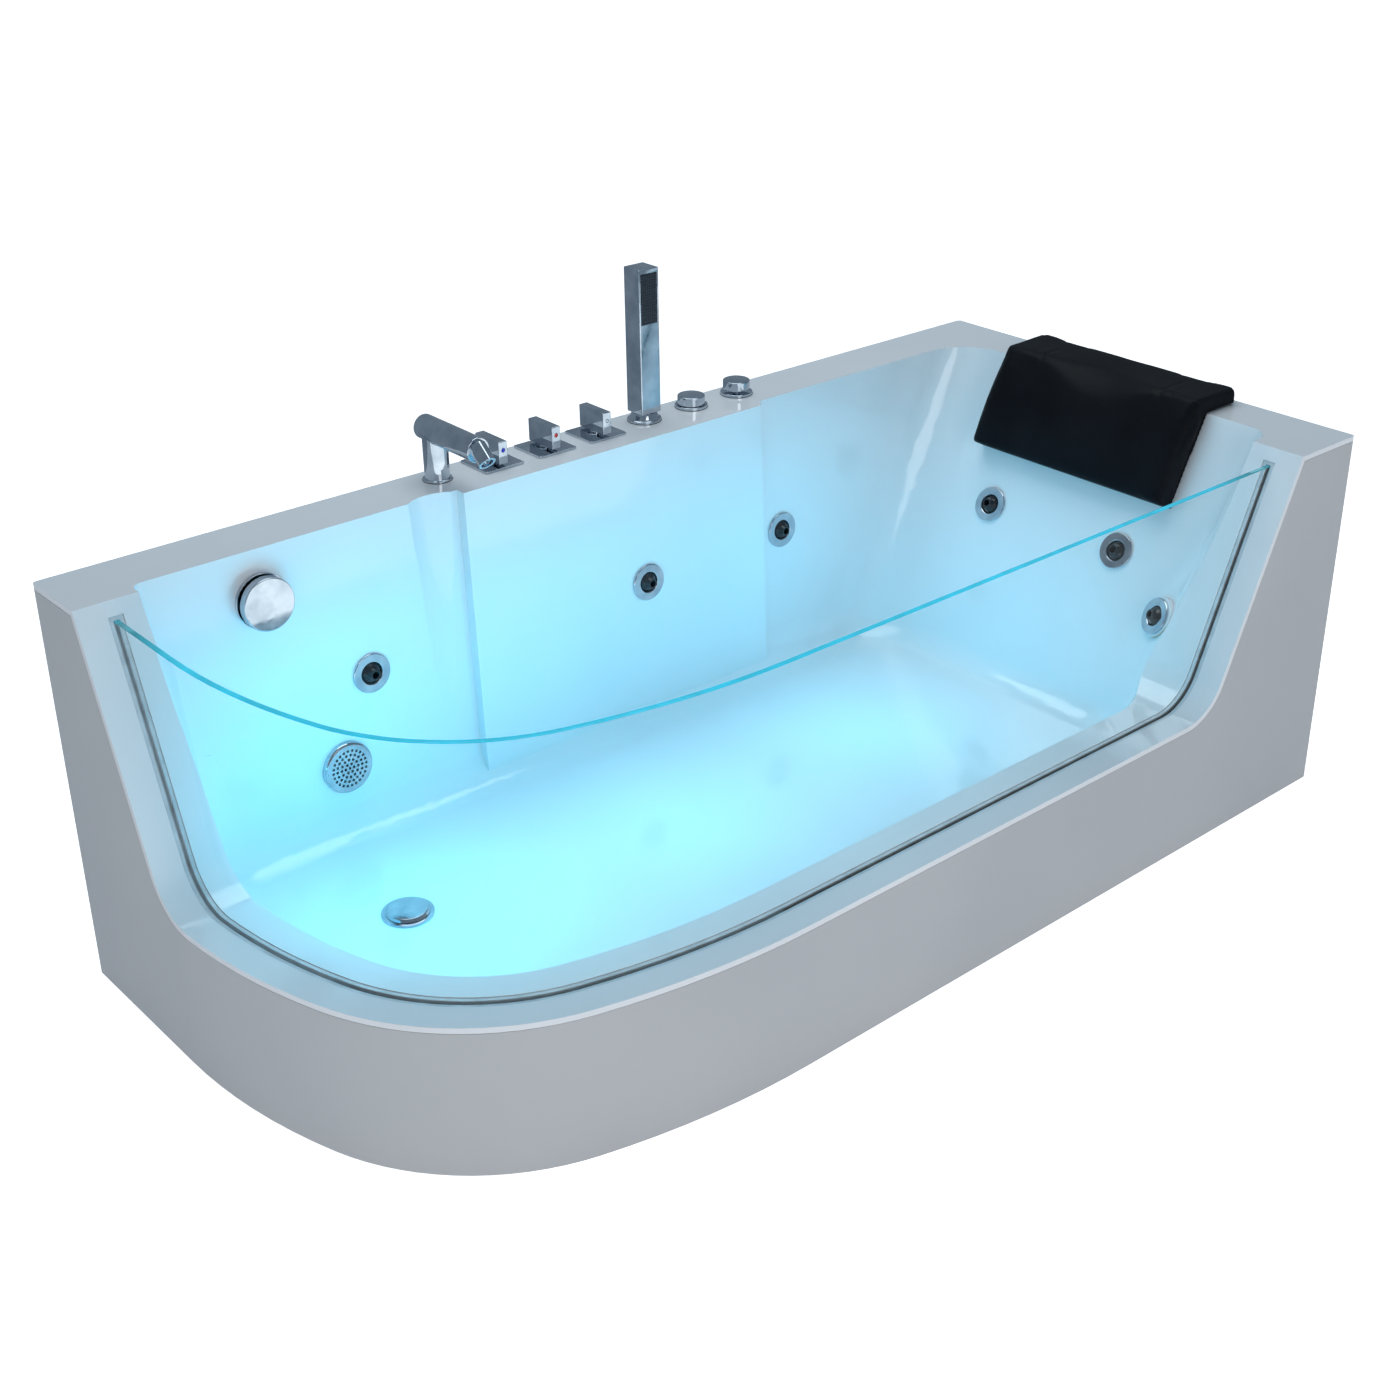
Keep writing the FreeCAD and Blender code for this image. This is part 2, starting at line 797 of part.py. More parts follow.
def make_feet():
    """Levelling feet: a pad and a threaded stud each."""
    feet = []
    for x, y in foot_places:
        pad = Part.makeCone(foot_pad_radius, foot_stud_radius * 2, foot_pad_height, V(x, y, 0))
        stud = rod(V(x, y, foot_pad_height), Z_AXIS, cross_base - foot_pad_height, foot_stud_radius)
        feet.append(joined([pad, stud]))
    return feet


def make_locknuts():
    """Nuts that lock the feet against the cross rails."""
    base = cross_base - locknut_height
    return [hex_prism(locknut_flats, locknut_height, foot_stud_radius, V(x, y, base))
            for x, y in foot_places]


def make_apron_brackets():
    """Angle plates that tie the apron to the front ends of the cross rails."""
    brackets = []
    inner = front + apron_thickness
    for x in cross_rail_x[2:]:
        half = cross_width / 2
        low = cross_base - bracket_height
        upright = box(x - half, x + half, inner, inner + bracket_plate, low, rail_base)
        foot = box(x - half, x + half, inner, inner + bracket_leg, cross_base - bracket_plate, cross_base)
        brackets.append(joined([upright, foot]))
    return brackets


# --- taps ----------------------------------------------------------------------------
def shank(x, length):
    """Threaded tail of a deck fitting."""
    return rod(V(x, tap_y, tub_height - length), Z_AXIS, length, shank_radius)


def make_spout_column():
    """Upright column with its base ring and tail."""
    base = rod(V(spout_x, tap_y, tub_height), Z_AXIS, spout_base_height, spout_base_radius)
    column = rod(V(spout_x, tap_y, tub_height), Z_AXIS, spout_axis_height, spout_radius)
    tail = shank(spout_x, feed_shank_length)
    return joined([base, column, tail]).cut(spout_bar(spout_radius))


def spout_bar(radius):
    """The spout tube's outer cylinder."""
    start = V(spout_x, back - spout_back, tub_height + spout_axis_height)
    return rod(start, -Y_AXIS, spout_reach, radius)


def aerator_bar():
    """Nozzle that points down and forward from the end of the spout."""
    angle = math.radians(aerator_drop)
    axis = V(0, -math.cos(angle), -math.sin(angle))
    root = V(spout_x, back - spout_back - spout_reach, tub_height + spout_axis_height + aerator_rise)
    return root - axis * aerator_bite, axis


def make_spout_tube():
    """Level round tube over the basin."""
    bar = spout_bar(spout_radius)
    rim = [edge for edge in bar.Edges if edge.Curve.TypeId == "Part::GeomCircle"]
    return bar.makeFillet(blade_edge, rim)


def make_aerator(spout_tube):
    """Angled nozzle with its recessed outlet."""
    root, axis = aerator_bar()
    body = rod(root, axis, aerator_length, aerator_radius)
    mouth = rod(root + axis * (aerator_length - aerator_recess), axis, aerator_recess, aerator_bore)
    return body.cut(mouth).cut(spout_tube)


def make_lever_plates():
    """Square cover plates under the three levers."""
    plates = []
    half = plate_side / 2
    for x in (cold_x, hot_x, diverter_x):
        plate = box(x - half, x + half, tap_y - half, tap_y + half, tub_height, tub_height + plate_height)
        upright = [e for e in plate.Edges if abs(e.BoundBox.ZLength - plate_height) < 0.001]
        plate = plate.makeFillet(plate_corner, upright)
        plates.append(plate.cut(rod(V(x, tap_y, tub_height), Z_AXIS, plate_height, shank_radius)))
    return group(plates)


def make_valve_bodies():
    """Cartridge bodies under the levers, with their supply tails."""
    bodies = []
    for x in (cold_x, hot_x, diverter_x):
        top = tub_height + plate_height
        neck = rod(V(x, tap_y, under_deck), Z_AXIS, top - under_deck, shank_radius)
        barrel = rod(V(x, tap_y, under_deck - valve_length), Z_AXIS, valve_length, valve_radius)
        solids = [neck, barrel]
        if x != diverter_x:
            foot = V(x, tap_y + inlet_offset, under_deck - valve_length - inlet_length)
            solids.append(rod(foot, Z_AXIS, inlet_length, inlet_radius))
        body = joined(solids)
        depth = spindle_length + spindle_room
        bore = rod(V(x, tap_y, top - depth), Z_AXIS, depth, spindle_radius + running_clearance)
        bodies.append(body.cut(bore))
    return group(bodies)


def mark_at(x):
    """Disc let into the front of a lever."""
    y = tap_y - blade_length / 2
    z = tub_height + plate_height + blade_lift + mark_height
    return rod(V(x, y, z), Y_AXIS, mark_depth, mark_radius)


def make_lever(x, marked):
    """Upright blade on a short stem, with the spindle that turns the valve."""
    top = tub_height + plate_height
    z = top + blade_lift
    blade = box(x - blade_width / 2, x + blade_width / 2, tap_y - blade_length / 2, tap_y + blade_length / 2,
                z, z + blade_height)
    blade = blade.makeFillet(blade_edge, blade.Edges)
    stem = rod(V(x, tap_y, top + stem_gap), Z_AXIS, blade_lift, stem_radius)
    spindle = rod(V(x, tap_y, top - spindle_length), Z_AXIS, spindle_length + blade_lift, spindle_radius)
    lever = joined([blade, stem, spindle])
    return lever.cut(mark_at(x)) if marked else lever


def make_deck_nuts():
    """Nuts that clamp the fittings from under the deck."""
    places = [spout_x, shower_x, regulator_x, button_x]
    return group([hex_prism(deck_nut_flats, deck_nut_height, shank_radius,
                            V(x, tap_y, under_deck - deck_nut_height)) for x in places])


def make_mixer_pipes():
    """Short pipes that join the spout, the three valves and the hand shower's feed."""
    z = under_deck - mixer_drop
    ends = [(spout_x, shank_radius), (cold_x, valve_radius), (hot_x, valve_radius),
            (diverter_x, valve_radius), (shower_x, shank_radius)]
    pipes = []
    for (x0, r0), (x1, r1) in zip(ends, ends[1:]):
        run = tube(V(x0, tap_y, z), X_AXIS, x1 - x0, mixer_radius, mixer_radius - mixer_wall)
        run = run.cut(rod(V(x0, tap_y, 0), Z_AXIS, above, r0))
        pipes.append(run.cut(rod(V(x1, tap_y, 0), Z_AXIS, above, r1)))
    return group(pipes)


# --- hand shower -------------------------------------------------------------------------
handle_base = tub_height + cup_height
handle_front = tap_y - handle_depth / 2


def make_shower_collar():
    """Deck collar and cup that the hand shower stands in, with its feed tail."""
    flange = rod(V(shower_x, tap_y, tub_height), Z_AXIS, collar_height, collar_radius)
    cup = Part.makeCone(cup_foot_radius, cup_radius, cup_height - collar_height,
                        V(shower_x, tap_y, tub_height + collar_height))
    tail = shank(shower_x, feed_shank_length)
    depth = handle_shank_length + spindle_room
    bore = rod(V(shower_x, tap_y, handle_base - depth), Z_AXIS, depth, handle_shank_radius + handle_clearance)
    return joined([flange, cup, tail]).cut(bore)


def spray_block(front_y, back_y):
    """Block as wide and high as the spray face, between two planes."""
    half = spray_width / 2
    top = handle_base + handle_height - spray_drop
    return box(shower_x - half, shower_x + half, front_y, back_y, top - spray_height, top)


def make_shower_handle():
    """Square hand shower with a round tail."""
    half = handle_width / 2
    bar = box(shower_x - half, shower_x + half, handle_front, tap_y + handle_depth / 2,
              handle_base, handle_base + handle_height)
    bar = bar.makeFillet(handle_edge, bar.Edges)
    tail = rod(V(shower_x, tap_y, handle_base - handle_shank_length), Z_AXIS,
               handle_shank_length + handle_edge, handle_shank_radius)
    return joined([bar, tail]).cut(spray_block(front, handle_front + spray_recess + spray_depth))


def make_spray_face():
    """Dark plate that the water leaves through."""
    return spray_block(handle_front + spray_recess, handle_front + spray_recess + spray_depth)


# --- air controls ----------------------------------------------------------------------------
def knob_cap(x, gap):
    """Round chrome cap over a flange."""
    base = V(x, tap_y, tub_height + knob_flange_height + gap)
    cap = rod(base, Z_AXIS, knob_height, knob_radius)
    top = [e for e in cap.Edges if abs(e.BoundBox.ZMin - base.z - knob_height) < 0.001]
    cap = cap.makeFillet(knob_edge, top)
    spindle = rod(base - Z_AXIS * knob_spindle_length, Z_AXIS, knob_spindle_length, knob_spindle_radius)
    return joined([cap, spindle])


def control_body(x, bore_depth):
    """Flange, threaded tail and barrel of an air control."""
    flange = rod(V(x, tap_y, tub_height), Z_AXIS, knob_flange_height, knob_flange_radius)
    tail = shank(x, skin + deck_nut_height)
    barrel = rod(V(x, tap_y, under_deck - deck_nut_height - knob_body_length), Z_AXIS,
                 knob_body_length, knob_body_radius)
    top = tub_height + knob_flange_height
    bore = rod(V(x, tap_y, top - bore_depth), Z_AXIS, bore_depth, knob_spindle_radius + running_clearance)
    return joined([flange, tail, barrel]).cut(bore)


# --- headrest ------------------------------------------------------------------------------------
quarter_round = 1 - math.sqrt(0.5)      # corner to the middle of its quarter circle, over the radius
pin_x = right - headrest_back_gap - pin_setback
pin_y = [headrest_centre_y + side * pin_spacing / 2 for side in (-1, 1)]


def headrest_section(y, cradle, draw_in):
    """Closed section of the pad at a place across the tub; cradle lowers its nose."""
    lean = math.atan(backrest_lean)
    lift = headrest_lift
    deck = tub_height + lift
    inner = V(on_backrest(0, tub_height).x - lift, y, deck)
    slope_down = V(-math.sin(lean), 0, -math.cos(lean))
    outward = V(-math.cos(lean), 0, math.sin(lean))
    foot = inner + slope_down * headrest_drop / math.cos(lean)
    toe = foot + outward * (headrest_face - draw_in)
    rear_x = right - headrest_back_gap - draw_in
    top = deck + headrest_over_deck - draw_in
    nose = inner + outward * (headrest_face - draw_in)
    nose_top = V(nose.x - backrest_lean * (nose.z - top), y, top)
    shoulder = nose_top + V(headrest_edge + cradle * cradle_run, 0, -cradle * cradle_dip)
    brow = nose_top + slope_down * (headrest_edge + cradle * cradle_fall)
    chord_middle = (shoulder + brow) * 0.5
    fullness = nose_fullness - (nose_fullness - cradle_fullness) * cradle / headrest_cradle
    nose_middle = chord_middle + (nose_top - chord_middle) * fullness
    face_middle = (brow + toe) * 0.5 + outward * headrest_crown
    rear_top = V(rear_x, y, top)
    edge = headrest_edge
    top_end = rear_top - X_AXIS * edge
    rear_start = rear_top - Z_AXIS * edge
    round_rear = rear_top - V(1, 0, 1) * (edge * quarter_round)
    toe_end = toe - outward * edge
    toe_start = toe - slope_down * edge
    round_toe = toe - (outward + slope_down) * (edge * quarter_round)
    edges = [
        Part.LineSegment(inner, V(rear_x, y, deck)).toShape(),
        Part.LineSegment(V(rear_x, y, deck), rear_start).toShape(),
        Part.Arc(rear_start, round_rear, top_end).toShape(),
        Part.LineSegment(top_end, shoulder).toShape(),
        Part.Arc(shoulder, nose_middle, brow).toShape(),
        Part.Arc(brow, face_middle, toe_start).toShape(),
        Part.Arc(toe_start, round_toe, toe_end).toShape(),
        Part.LineSegment(toe_end, foot).toShape(),
        Part.LineSegment(foot, inner).toShape()]
    return Part.Wire(edges)


def make_headrest():
    """Padded headrest over the deck and down the backrest, with a hollow for the neck."""
    half = headrest_width / 2
    sections = []
    for share in [-k for k in reversed(headrest_stations)] + list(headrest_stations):
        y = headrest_centre_y + half * share
        reach = min(abs(y - headrest_centre_y) / headrest_cradle_half, 1.0)
        cradle = headrest_cradle * (0.5 + 0.5 * math.cos(math.pi * reach))
        draw_in = headrest_crown if abs(share) == 1.0 else 0.0
        sections.append(headrest_section(y, cradle, draw_in))
    pad = Part.makeLoft(sections, True, False)
    sockets = [rod(V(pin_x, y, tub_height), Z_AXIS, pin_length / 2, pin_radius) for y in pin_y]
    return pad.cut(group(sockets))


def make_headrest_pins():
    """Plastic pins that hold the headrest to the deck."""
    return group([rod(V(pin_x, y, tub_height - pin_length / 2), Z_AXIS, pin_length, pin_radius)
                  for y in pin_y])


# --- overflow and waste ----------------------------------------------------------------------------
def make_overflow_ring():
    """Chrome ring on the back wall, with a running hole for the knob's spindle."""
    ring_shape = rod(V(0, 0, 0), Z_AXIS, overflow_ring_height, overflow_ring_radius)
    half = overflow_slot_width / 2
    slot = box(-half, half, overflow_slot_start, overflow_slot_end, 0, overflow_ring_height)
    slots = []
    for k in range(overflow_slot_count):
        turned = slot.copy()
        turned.rotate(V(0, 0, 0), Z_AXIS, 360.0 * k / overflow_slot_count)
        slots.append(turned)
    hole = rod(V(0, 0, 0), Z_AXIS, overflow_ring_height, plug_stem_radius + running_clearance)
    return seated(ring_shape.cut(group(slots)).cut(hole), overflow_at, back_normal)


def make_overflow_knob():
    """Round knob that lifts the plug; water runs in behind its edge."""
    base = overflow_ring_height + overflow_knob_gap
    height = overflow_knob_height - overflow_knob_gap
    cap = rod(V(0, 0, base), Z_AXIS, height, overflow_knob_radius)
    rim = [e for e in cap.Edges if abs(e.BoundBox.ZMin - base - height) < 0.001]
    cap = cap.makeFillet(knob_edge, rim)
    hollow = rod(V(0, 0, base), Z_AXIS, overflow_knob_gap, overflow_knob_radius - overflow_knob_rim)
    length = overflow_spindle_length + base + height - knob_edge
    spindle = rod(V(0, 0, -overflow_spindle_length), Z_AXIS, length, plug_stem_radius)
    return seated(joined([cap.cut(hollow), spindle]), overflow_at, back_normal)


def make_overflow_body():
    """Box behind the wall that takes the overflow water."""
    start = V(0, 0, -skin - overflow_body_length)
    body = rod(start, Z_AXIS, overflow_body_length, overflow_body_radius)
    hollow = rod(start + Z_AXIS * pipe_wall, Z_AXIS, overflow_body_length - pipe_wall,
                 overflow_body_radius - pipe_wall * 2)
    body = seated(body.cut(hollow), overflow_at, back_normal)
    foot = V(overflow_x, overflow_pipe_y, overflow_height - overflow_socket_drop)
    mouth = rod(foot, Z_AXIS, overflow_socket_drop, overflow_pipe_radius - pipe_wall)
    socket = rod(foot, Z_AXIS, overflow_socket_length, overflow_pipe_radius)
    socket = socket.cut(seated(hollow, overflow_at, back_normal))
    return joined([body, socket]).cut(mouth)


overflow_pipe_y = overflow_at.y + skin + overflow_body_length / 2
waste_axis_height = cross_base + waste_pipe_radius - waste_drop
waste_top = waste_axis_height + waste_pipe_radius


def make_overflow_pipe():
    """Pipe from the overflow down to the waste outlet."""
    points = [V(overflow_x, overflow_pipe_y, overflow_height - overflow_socket_drop),
              V(overflow_x, overflow_pipe_y, waste_top + overflow_shift_top),
              V(drain_x, overflow_pipe_y, waste_top + overflow_shift_foot),
              V(drain_x, overflow_pipe_y, waste_axis_height)]
    run = pipe(points, overflow_pipe_radius, overflow_pipe_bend, pipe_wall)
    return run.cut(rod(V(drain_x, drain_y, waste_axis_height), Y_AXIS, tub_width, waste_pipe_radius))


def make_drain_flange():
    """Chrome flange in the floor, with its threaded throat and a bar that guides the plug's stem."""
    flange = rod(drain_at, Z_AXIS, drain_flange_height, drain_flange_radius)
    foot = V(drain_x, drain_y, under_floor - drain_throat_drop)
    throat = rod(foot, Z_AXIS, skin + drain_throat_drop, drain_throat_radius)
    bore = rod(foot, Z_AXIS, above, drain_throat_radius - drain_throat_wall)
    low = under_floor - guide_height
    guide = rod(V(drain_x, drain_y, low), Z_AXIS, guide_height, plug_stem_radius + guide_wall)
    reach = drain_throat_radius - drain_throat_wall / 2
    half = drain_throat_wall / 2
    bar = box(drain_x - reach, drain_x + reach, drain_y - half, drain_y + half, low, under_floor)
    hole = rod(V(drain_x, drain_y, low), Z_AXIS, guide_height, plug_stem_radius + running_clearance)
    return joined([joined([flange, throat]).cut(bore), guide, bar]).cut(hole)


def make_drain_plug():
    """Pop-up plug with its stem."""
    base = drain_at + Z_AXIS * (drain_flange_height + plug_gap)
    cap = Part.makeCone(plug_radius, plug_radius - plug_taper, plug_height, base)
    stem = rod(base - Z_AXIS * plug_stem_length, Z_AXIS, plug_stem_length, plug_stem_radius)
    return joined([cap, stem])


def make_waste_body():
    """Low waste body under the drain, with the outlet pipe that leaves at the back."""
    top = under_floor - drain_throat_drop
    base = waste_axis_height - waste_pipe_radius - waste_cup_margin
    wall = pipe_wall
    cup = rod(V(drain_x, drain_y, base), Z_AXIS, top - base, drain_body_radius)
    collar = tube(V(drain_x, drain_y, top), Z_AXIS, drain_throat_drop, drain_body_radius,
                  drain_throat_radius)
    reach = back - spigot_setback - drain_y
    axis_start = V(drain_x, drain_y, waste_axis_height)
    arm = joined([rod(axis_start, Y_AXIS, reach - spigot_length, waste_pipe_radius),
                  rod(axis_start, Y_AXIS, reach, spigot_radius)])
    room = rod(V(drain_x, drain_y, base + wall), Z_AXIS, top - base - wall, drain_throat_radius)
    way = rod(axis_start, Y_AXIS, reach, spigot_radius - wall)
    return joined([cup, collar, arm]).cut(room).cut(way)


def make_plug_cable():
    """Cable that carries the knob's turn down to the plug."""
    start = overflow_at - back_normal * (skin + overflow_body_length)
    side_x = overflow_x - cable_side
    rear_y = start.y + cable_side
    low = waste_axis_height + cable_radius
    points = [start,
              V(overflow_x, rear_y, start.z),
              V(side_x, rear_y, waste_top + overflow_shift_foot),
              V(side_x, rear_y - overflow_pipe_bend, low),
              V(side_x, drain_y, low),
              V(drain_x, drain_y, low)]
    core = rod(V(drain_x, drain_y, 0), Z_AXIS, tub_height, drain_body_radius)
    return pipe_run(points, cable_radius, cable_bend).cut(core)


# --- jets ------------------------------------------------------------------------------------------
jet_rear = skin + jet_barrel_length
ball_at = V(0, 0, -jet_ball_depth)


def make_jet_flange():
    """Chrome ring with the socket that holds the nozzle ball; drawn facing +Z."""
    face = rod(V(0, 0, 0), Z_AXIS, jet_flange_height, jet_flange_radius)
    barrel = rod(V(0, 0, -jet_rear), Z_AXIS, jet_rear, jet_barrel_radius)
    body = joined([face, barrel]).cut(Part.makeSphere(jet_ball_radius + jet_ball_gap, ball_at))
    mouth = Part.makeCone(jet_ball_radius * 0.82, jet_ball_radius * 1.05, jet_mouth_depth,
                          V(0, 0, jet_flange_height - jet_mouth_depth))
    tail = rod(V(0, 0, -jet_rear), Z_AXIS, jet_barrel_length, jet_chamber_radius)
    return body.cut(mouth).cut(tail)


def make_jet_nozzle():
    """Ball with its nozzle; drawn facing +Z."""
    flat = V(0, 0, -jet_ball_depth - jet_ball_cut)
    ball = Part.makeSphere(jet_ball_radius, ball_at)
    ball = ball.common(rod(flat, Z_AXIS, 2 * jet_ball_radius, jet_ball_radius))
    lip = Part.makeCone(jet_nozzle_bore + 2 * jet_lip_wall, jet_nozzle_bore + jet_lip_wall, jet_lip_length,
                        V(0, 0, jet_lip_start))
    return joined([ball, lip]).cut(rod(flat, Z_AXIS, 3 * jet_ball_radius, jet_nozzle_bore))


def make_jet_body():
    """Mixing body behind the wall; drawn facing +Z."""
    rear = V(0, 0, -skin - jet_body_length)
    body = rod(rear, Z_AXIS, jet_body_length, jet_body_radius)
    pocket = rod(V(0, 0, -jet_rear), Z_AXIS, jet_barrel_length, jet_barrel_radius)
    chamber = rod(rear + Z_AXIS * jet_chamber_floor, Z_AXIS, jet_body_length, jet_chamber_radius)
    return body.cut(pocket).cut(chamber)


jet_bodies = [seated(make_jet_body(), point, normal) for point, normal in jets]
jet_flanges = [seated(make_jet_flange(), point, normal) for point, normal in jets]
jet_nozzles = [seated(make_jet_nozzle(), point, normal) for point, normal in jets]


def make_suction_grille():
    """Domed grille over the suction hole."""
    cap = rod(V(0, 0, 0), Z_AXIS, suction_depth, suction_radius)
    rim = [e for e in cap.Edges if abs(e.BoundBox.ZMin - suction_depth) < 0.001]
    cap = cap.makeFillet(suction_depth * 0.5, rim)
    hollow = rod(V(0, 0, 0), Z_AXIS, suction_depth - suction_skin, suction_radius - suction_rim)
    holes = [rod(V(0, 0, 0), Z_AXIS, suction_depth, suction_small_hole)]
    for lap in range(1, suction_laps + 1):
        reach = lap * suction_hole_pitch
        for k in range(6 * lap):
            angle = 2 * math.pi * k / (6 * lap)
            place = V(reach * math.cos(angle), reach * math.sin(angle), 0)
            holes.append(rod(place, Z_AXIS, suction_depth, suction_small_hole))
    return seated(cap.cut(hollow).cut(group(holes)), suction_at, back_normal)


def make_lamp_housing():
    """Sealed cup of the underwater lamp."""
    flange = rod(V(0, 0, 0), Z_AXIS, lamp_depth - lamp_wall, lamp_radius)
    rear = V(0, 0, -skin - lamp_body_length)
    cup = rod(rear, Z_AXIS, skin + lamp_body_length, lamp_body_radius)
    room = rod(rear + Z_AXIS * lamp_wall, Z_AXIS, 2 * skin + lamp_body_length, lamp_body_radius - lamp_wall)
    return seated(joined([flange, cup]).cut(room), lamp_at, left_normal)


def make_lamp_lens():
    """Frosted lens of the underwater lamp."""
    disc = rod(V(0, 0, lamp_depth - lamp_wall), Z_AXIS, lamp_wall, lamp_radius - lens_edge)
    rim = [e for e in disc.Edges if abs(e.BoundBox.ZMin - lamp_depth) < 0.001]
    return seated(disc.makeFillet(lens_edge, rim), lamp_at, left_normal)


# --- pipes -----------------------------------------------------------------------------------------
def jet_centre(index):
    """Middle of a jet's mixing body."""
    point, normal = jets[index]
    return point - normal * (skin + jet_chamber_floor + jet_body_length / 2)


def jet_cores():
    """The jet bodies without their hollows."""
    return [rod(point - normal * (skin + jet_body_length), normal, jet_body_length, jet_body_radius)
            for point, normal in jets]


def manifold(height, radius, branch_shift, feed):
    """Pipe behind the back wall and the backrest, with a branch to every jet."""
    start = V(jets[0][0].x - radius, pipe_y, height)
    end = V(rest_pipe_x, jet_centre(-1).y - radius, height)
    runs = [([start, V(rest_pipe_x, pipe_y, height), end], radius, rest_pipe_bend), feed]
    for index, (point, normal) in enumerate(jets):
        centre = jet_centre(index) + normal * (normal.z * branch_shift)
        side = V(centre.x, pipe_y, height) if index < 3 else V(rest_pipe_x, centre.y, height)
        runs.append(([centre, side], branch_radius, 1))
    outer = joined([pipe_run(points, reach, bend) for points, reach, bend in runs])
    inner = joined([pipe_run(points, reach - thin_wall, bend) for points, reach, bend in runs])
    caps = [rod(start, X_AXIS, pipe_end, radius), rod(end, Y_AXIS, pipe_end, radius)]
    return joined([outer.cut(inner)] + caps).cut(group(jet_cores()))


def make_water_pipes():
    """Pressure pipe from the pump to the jets."""
    middle = pump_inlet_y - casing_length / 2
    height = pump_axis_height + outlet_rise
    feed = ([V(pump_x, middle, height), V(rest_pipe_x, middle, height),
             V(rest_pipe_x, middle, water_pipe_height)], outlet_radius, outlet_radius + 1)
    pipes = manifold(water_pipe_height, water_pipe_radius, -branch_offset, feed)
    return pipes.cut(y_rod(pump_inlet_y - casing_length, pump_inlet_y, casing_radius))


def make_air_pipes():
    """Air pipe from the regulator to the jets."""
    bottom = under_deck - deck_nut_height - knob_body_length
    feed = ([V(regulator_x, tap_y, bottom), V(regulator_x, tap_y, bottom - 2 * branch_radius),
             V(regulator_x, pipe_y, air_pipe_height)], branch_radius, branch_radius + 1)
    return manifold(air_pipe_height, air_pipe_radius, branch_offset, feed)


def suction_run(radius):
    """The suction pipe's route: behind the back wall, then forward to the pump."""
    points = [V(suction_x, pipe_y, suction_height), V(pump_x, pipe_y, suction_height),
              V(pump_x, pump_inlet_y, suction_height)]
    return pipe_run(points, radius, suction_bend)


def suction_core():
    """The suction body without its hollow."""
    return seated(rod(V(0, 0, -skin - suction_body_length), Z_AXIS, skin + suction_body_length,
                      suction_hole_radius), suction_at, back_normal)


def make_suction_body():
    """Closed cup behind the wall that the suction pipe starts from."""
    room = rod(V(0, 0, pipe_end - skin - suction_body_length), Z_AXIS, skin + suction_body_length,
               suction_hole_radius - pipe_end)
    body = suction_core().cut(seated(room, suction_at, back_normal))
    port = rod(V(suction_x, pipe_y, suction_height), X_AXIS, 2 * suction_hole_radius,
               suction_pipe_radius - thin_wall)
    return body.cut(port)


def make_suction_pipe():
    """Pipe from the suction body to the pump's inlet."""
    bore = suction_run(suction_pipe_radius - thin_wall)
    return suction_run(suction_pipe_radius).cut(bore).cut(suction_core())


# --- pump ------------------------------------------------------------------------------------------
def y_rod(y0, y1, radius):
    """Cylinder on the pump's axis."""
    return rod(V(pump_x, y0, pump_axis_height), Y_AXIS, y1 - y0, radius)


def y_tube(y0, y1, radius, bore):
    """Hollow cylinder on the pump's axis."""
    return y_rod(y0, y1, radius).cut(y_rod(y0, y1, bore))


def around_axis(blade, count):
    """Copies of a blade set round the pump's axis."""
    copies = []
    for k in range(count):
        turned = blade.copy()
        turned.rotate(V(pump_x, 0, pump_axis_height), Y_AXIS, 360.0 * k / count)
        copies.append(turned)
    return copies


def make_pump_casing():
    """Casing with its inlet sleeve and its side outlet."""
    body = y_rod(motor_front, pump_inlet_y, casing_radius)
    room = y_rod(motor_front + casing_wall, pump_inlet_y - casing_wall, casing_radius - casing_wall)
    sleeve = y_tube(pump_inlet_y, pump_inlet_y + inlet_sleeve, suction_pipe_radius + pipe_end,
                    suction_pipe_radius)
    eye = y_rod(pump_inlet_y - casing_wall, pump_inlet_y, suction_pipe_radius - thin_wall)
    seal = y_rod(motor_front, motor_front + casing_wall, shaft_radius + running_clearance)
    outlet = rod(V(pump_x, pump_inlet_y - casing_length / 2, pump_axis_height + outlet_rise), X_AXIS,
                 casing_radius, outlet_radius - thin_wall)
    return joined([body.cut(room), sleeve]).cut(eye).cut(seal).cut(outlet)


def make_impeller():
    """Hub, disc and straight blades."""
    base = motor_front + casing_wall + impeller_gap
    tip = base + impeller_width
    half = impeller_blade / 2
    blade = box(pump_x - half, pump_x + half, base, tip, pump_axis_height + impeller_hub - half,
                pump_axis_height + impeller_radius - half)
    body = joined([y_rod(base, tip, impeller_hub), y_rod(base, base + impeller_disc, impeller_radius)]
                  + around_axis(blade, impeller_blades))
    return body.cut(y_rod(base, tip, shaft_radius))


def make_shaft():
    """Shaft with the rotor on it."""
    start = motor_rear - fan_gap - fan_width
    end = motor_front + casing_wall + impeller_gap + impeller_width
    middle = (motor_rear + motor_front) / 2
    rotor = y_rod(middle - rotor_length / 2, middle + rotor_length / 2, rotor_radius)
    return joined([y_rod(start, end, shaft_radius), rotor])


def bearing_seats():
    """The room that the bearings fill in the motor's end walls."""
    rear = motor_rear + bearing_inset
    fore = motor_front - bearing_inset
    return [y_rod(rear, rear + bearing_width, bearing_radius),
            y_rod(fore - bearing_width, fore, bearing_radius)]


def make_bearings():
    """Two bearings in the motor's end walls."""
    bore = y_rod(motor_rear, motor_front, shaft_radius + running_clearance)
    return group([seat.cut(bore) for seat in bearing_seats()])


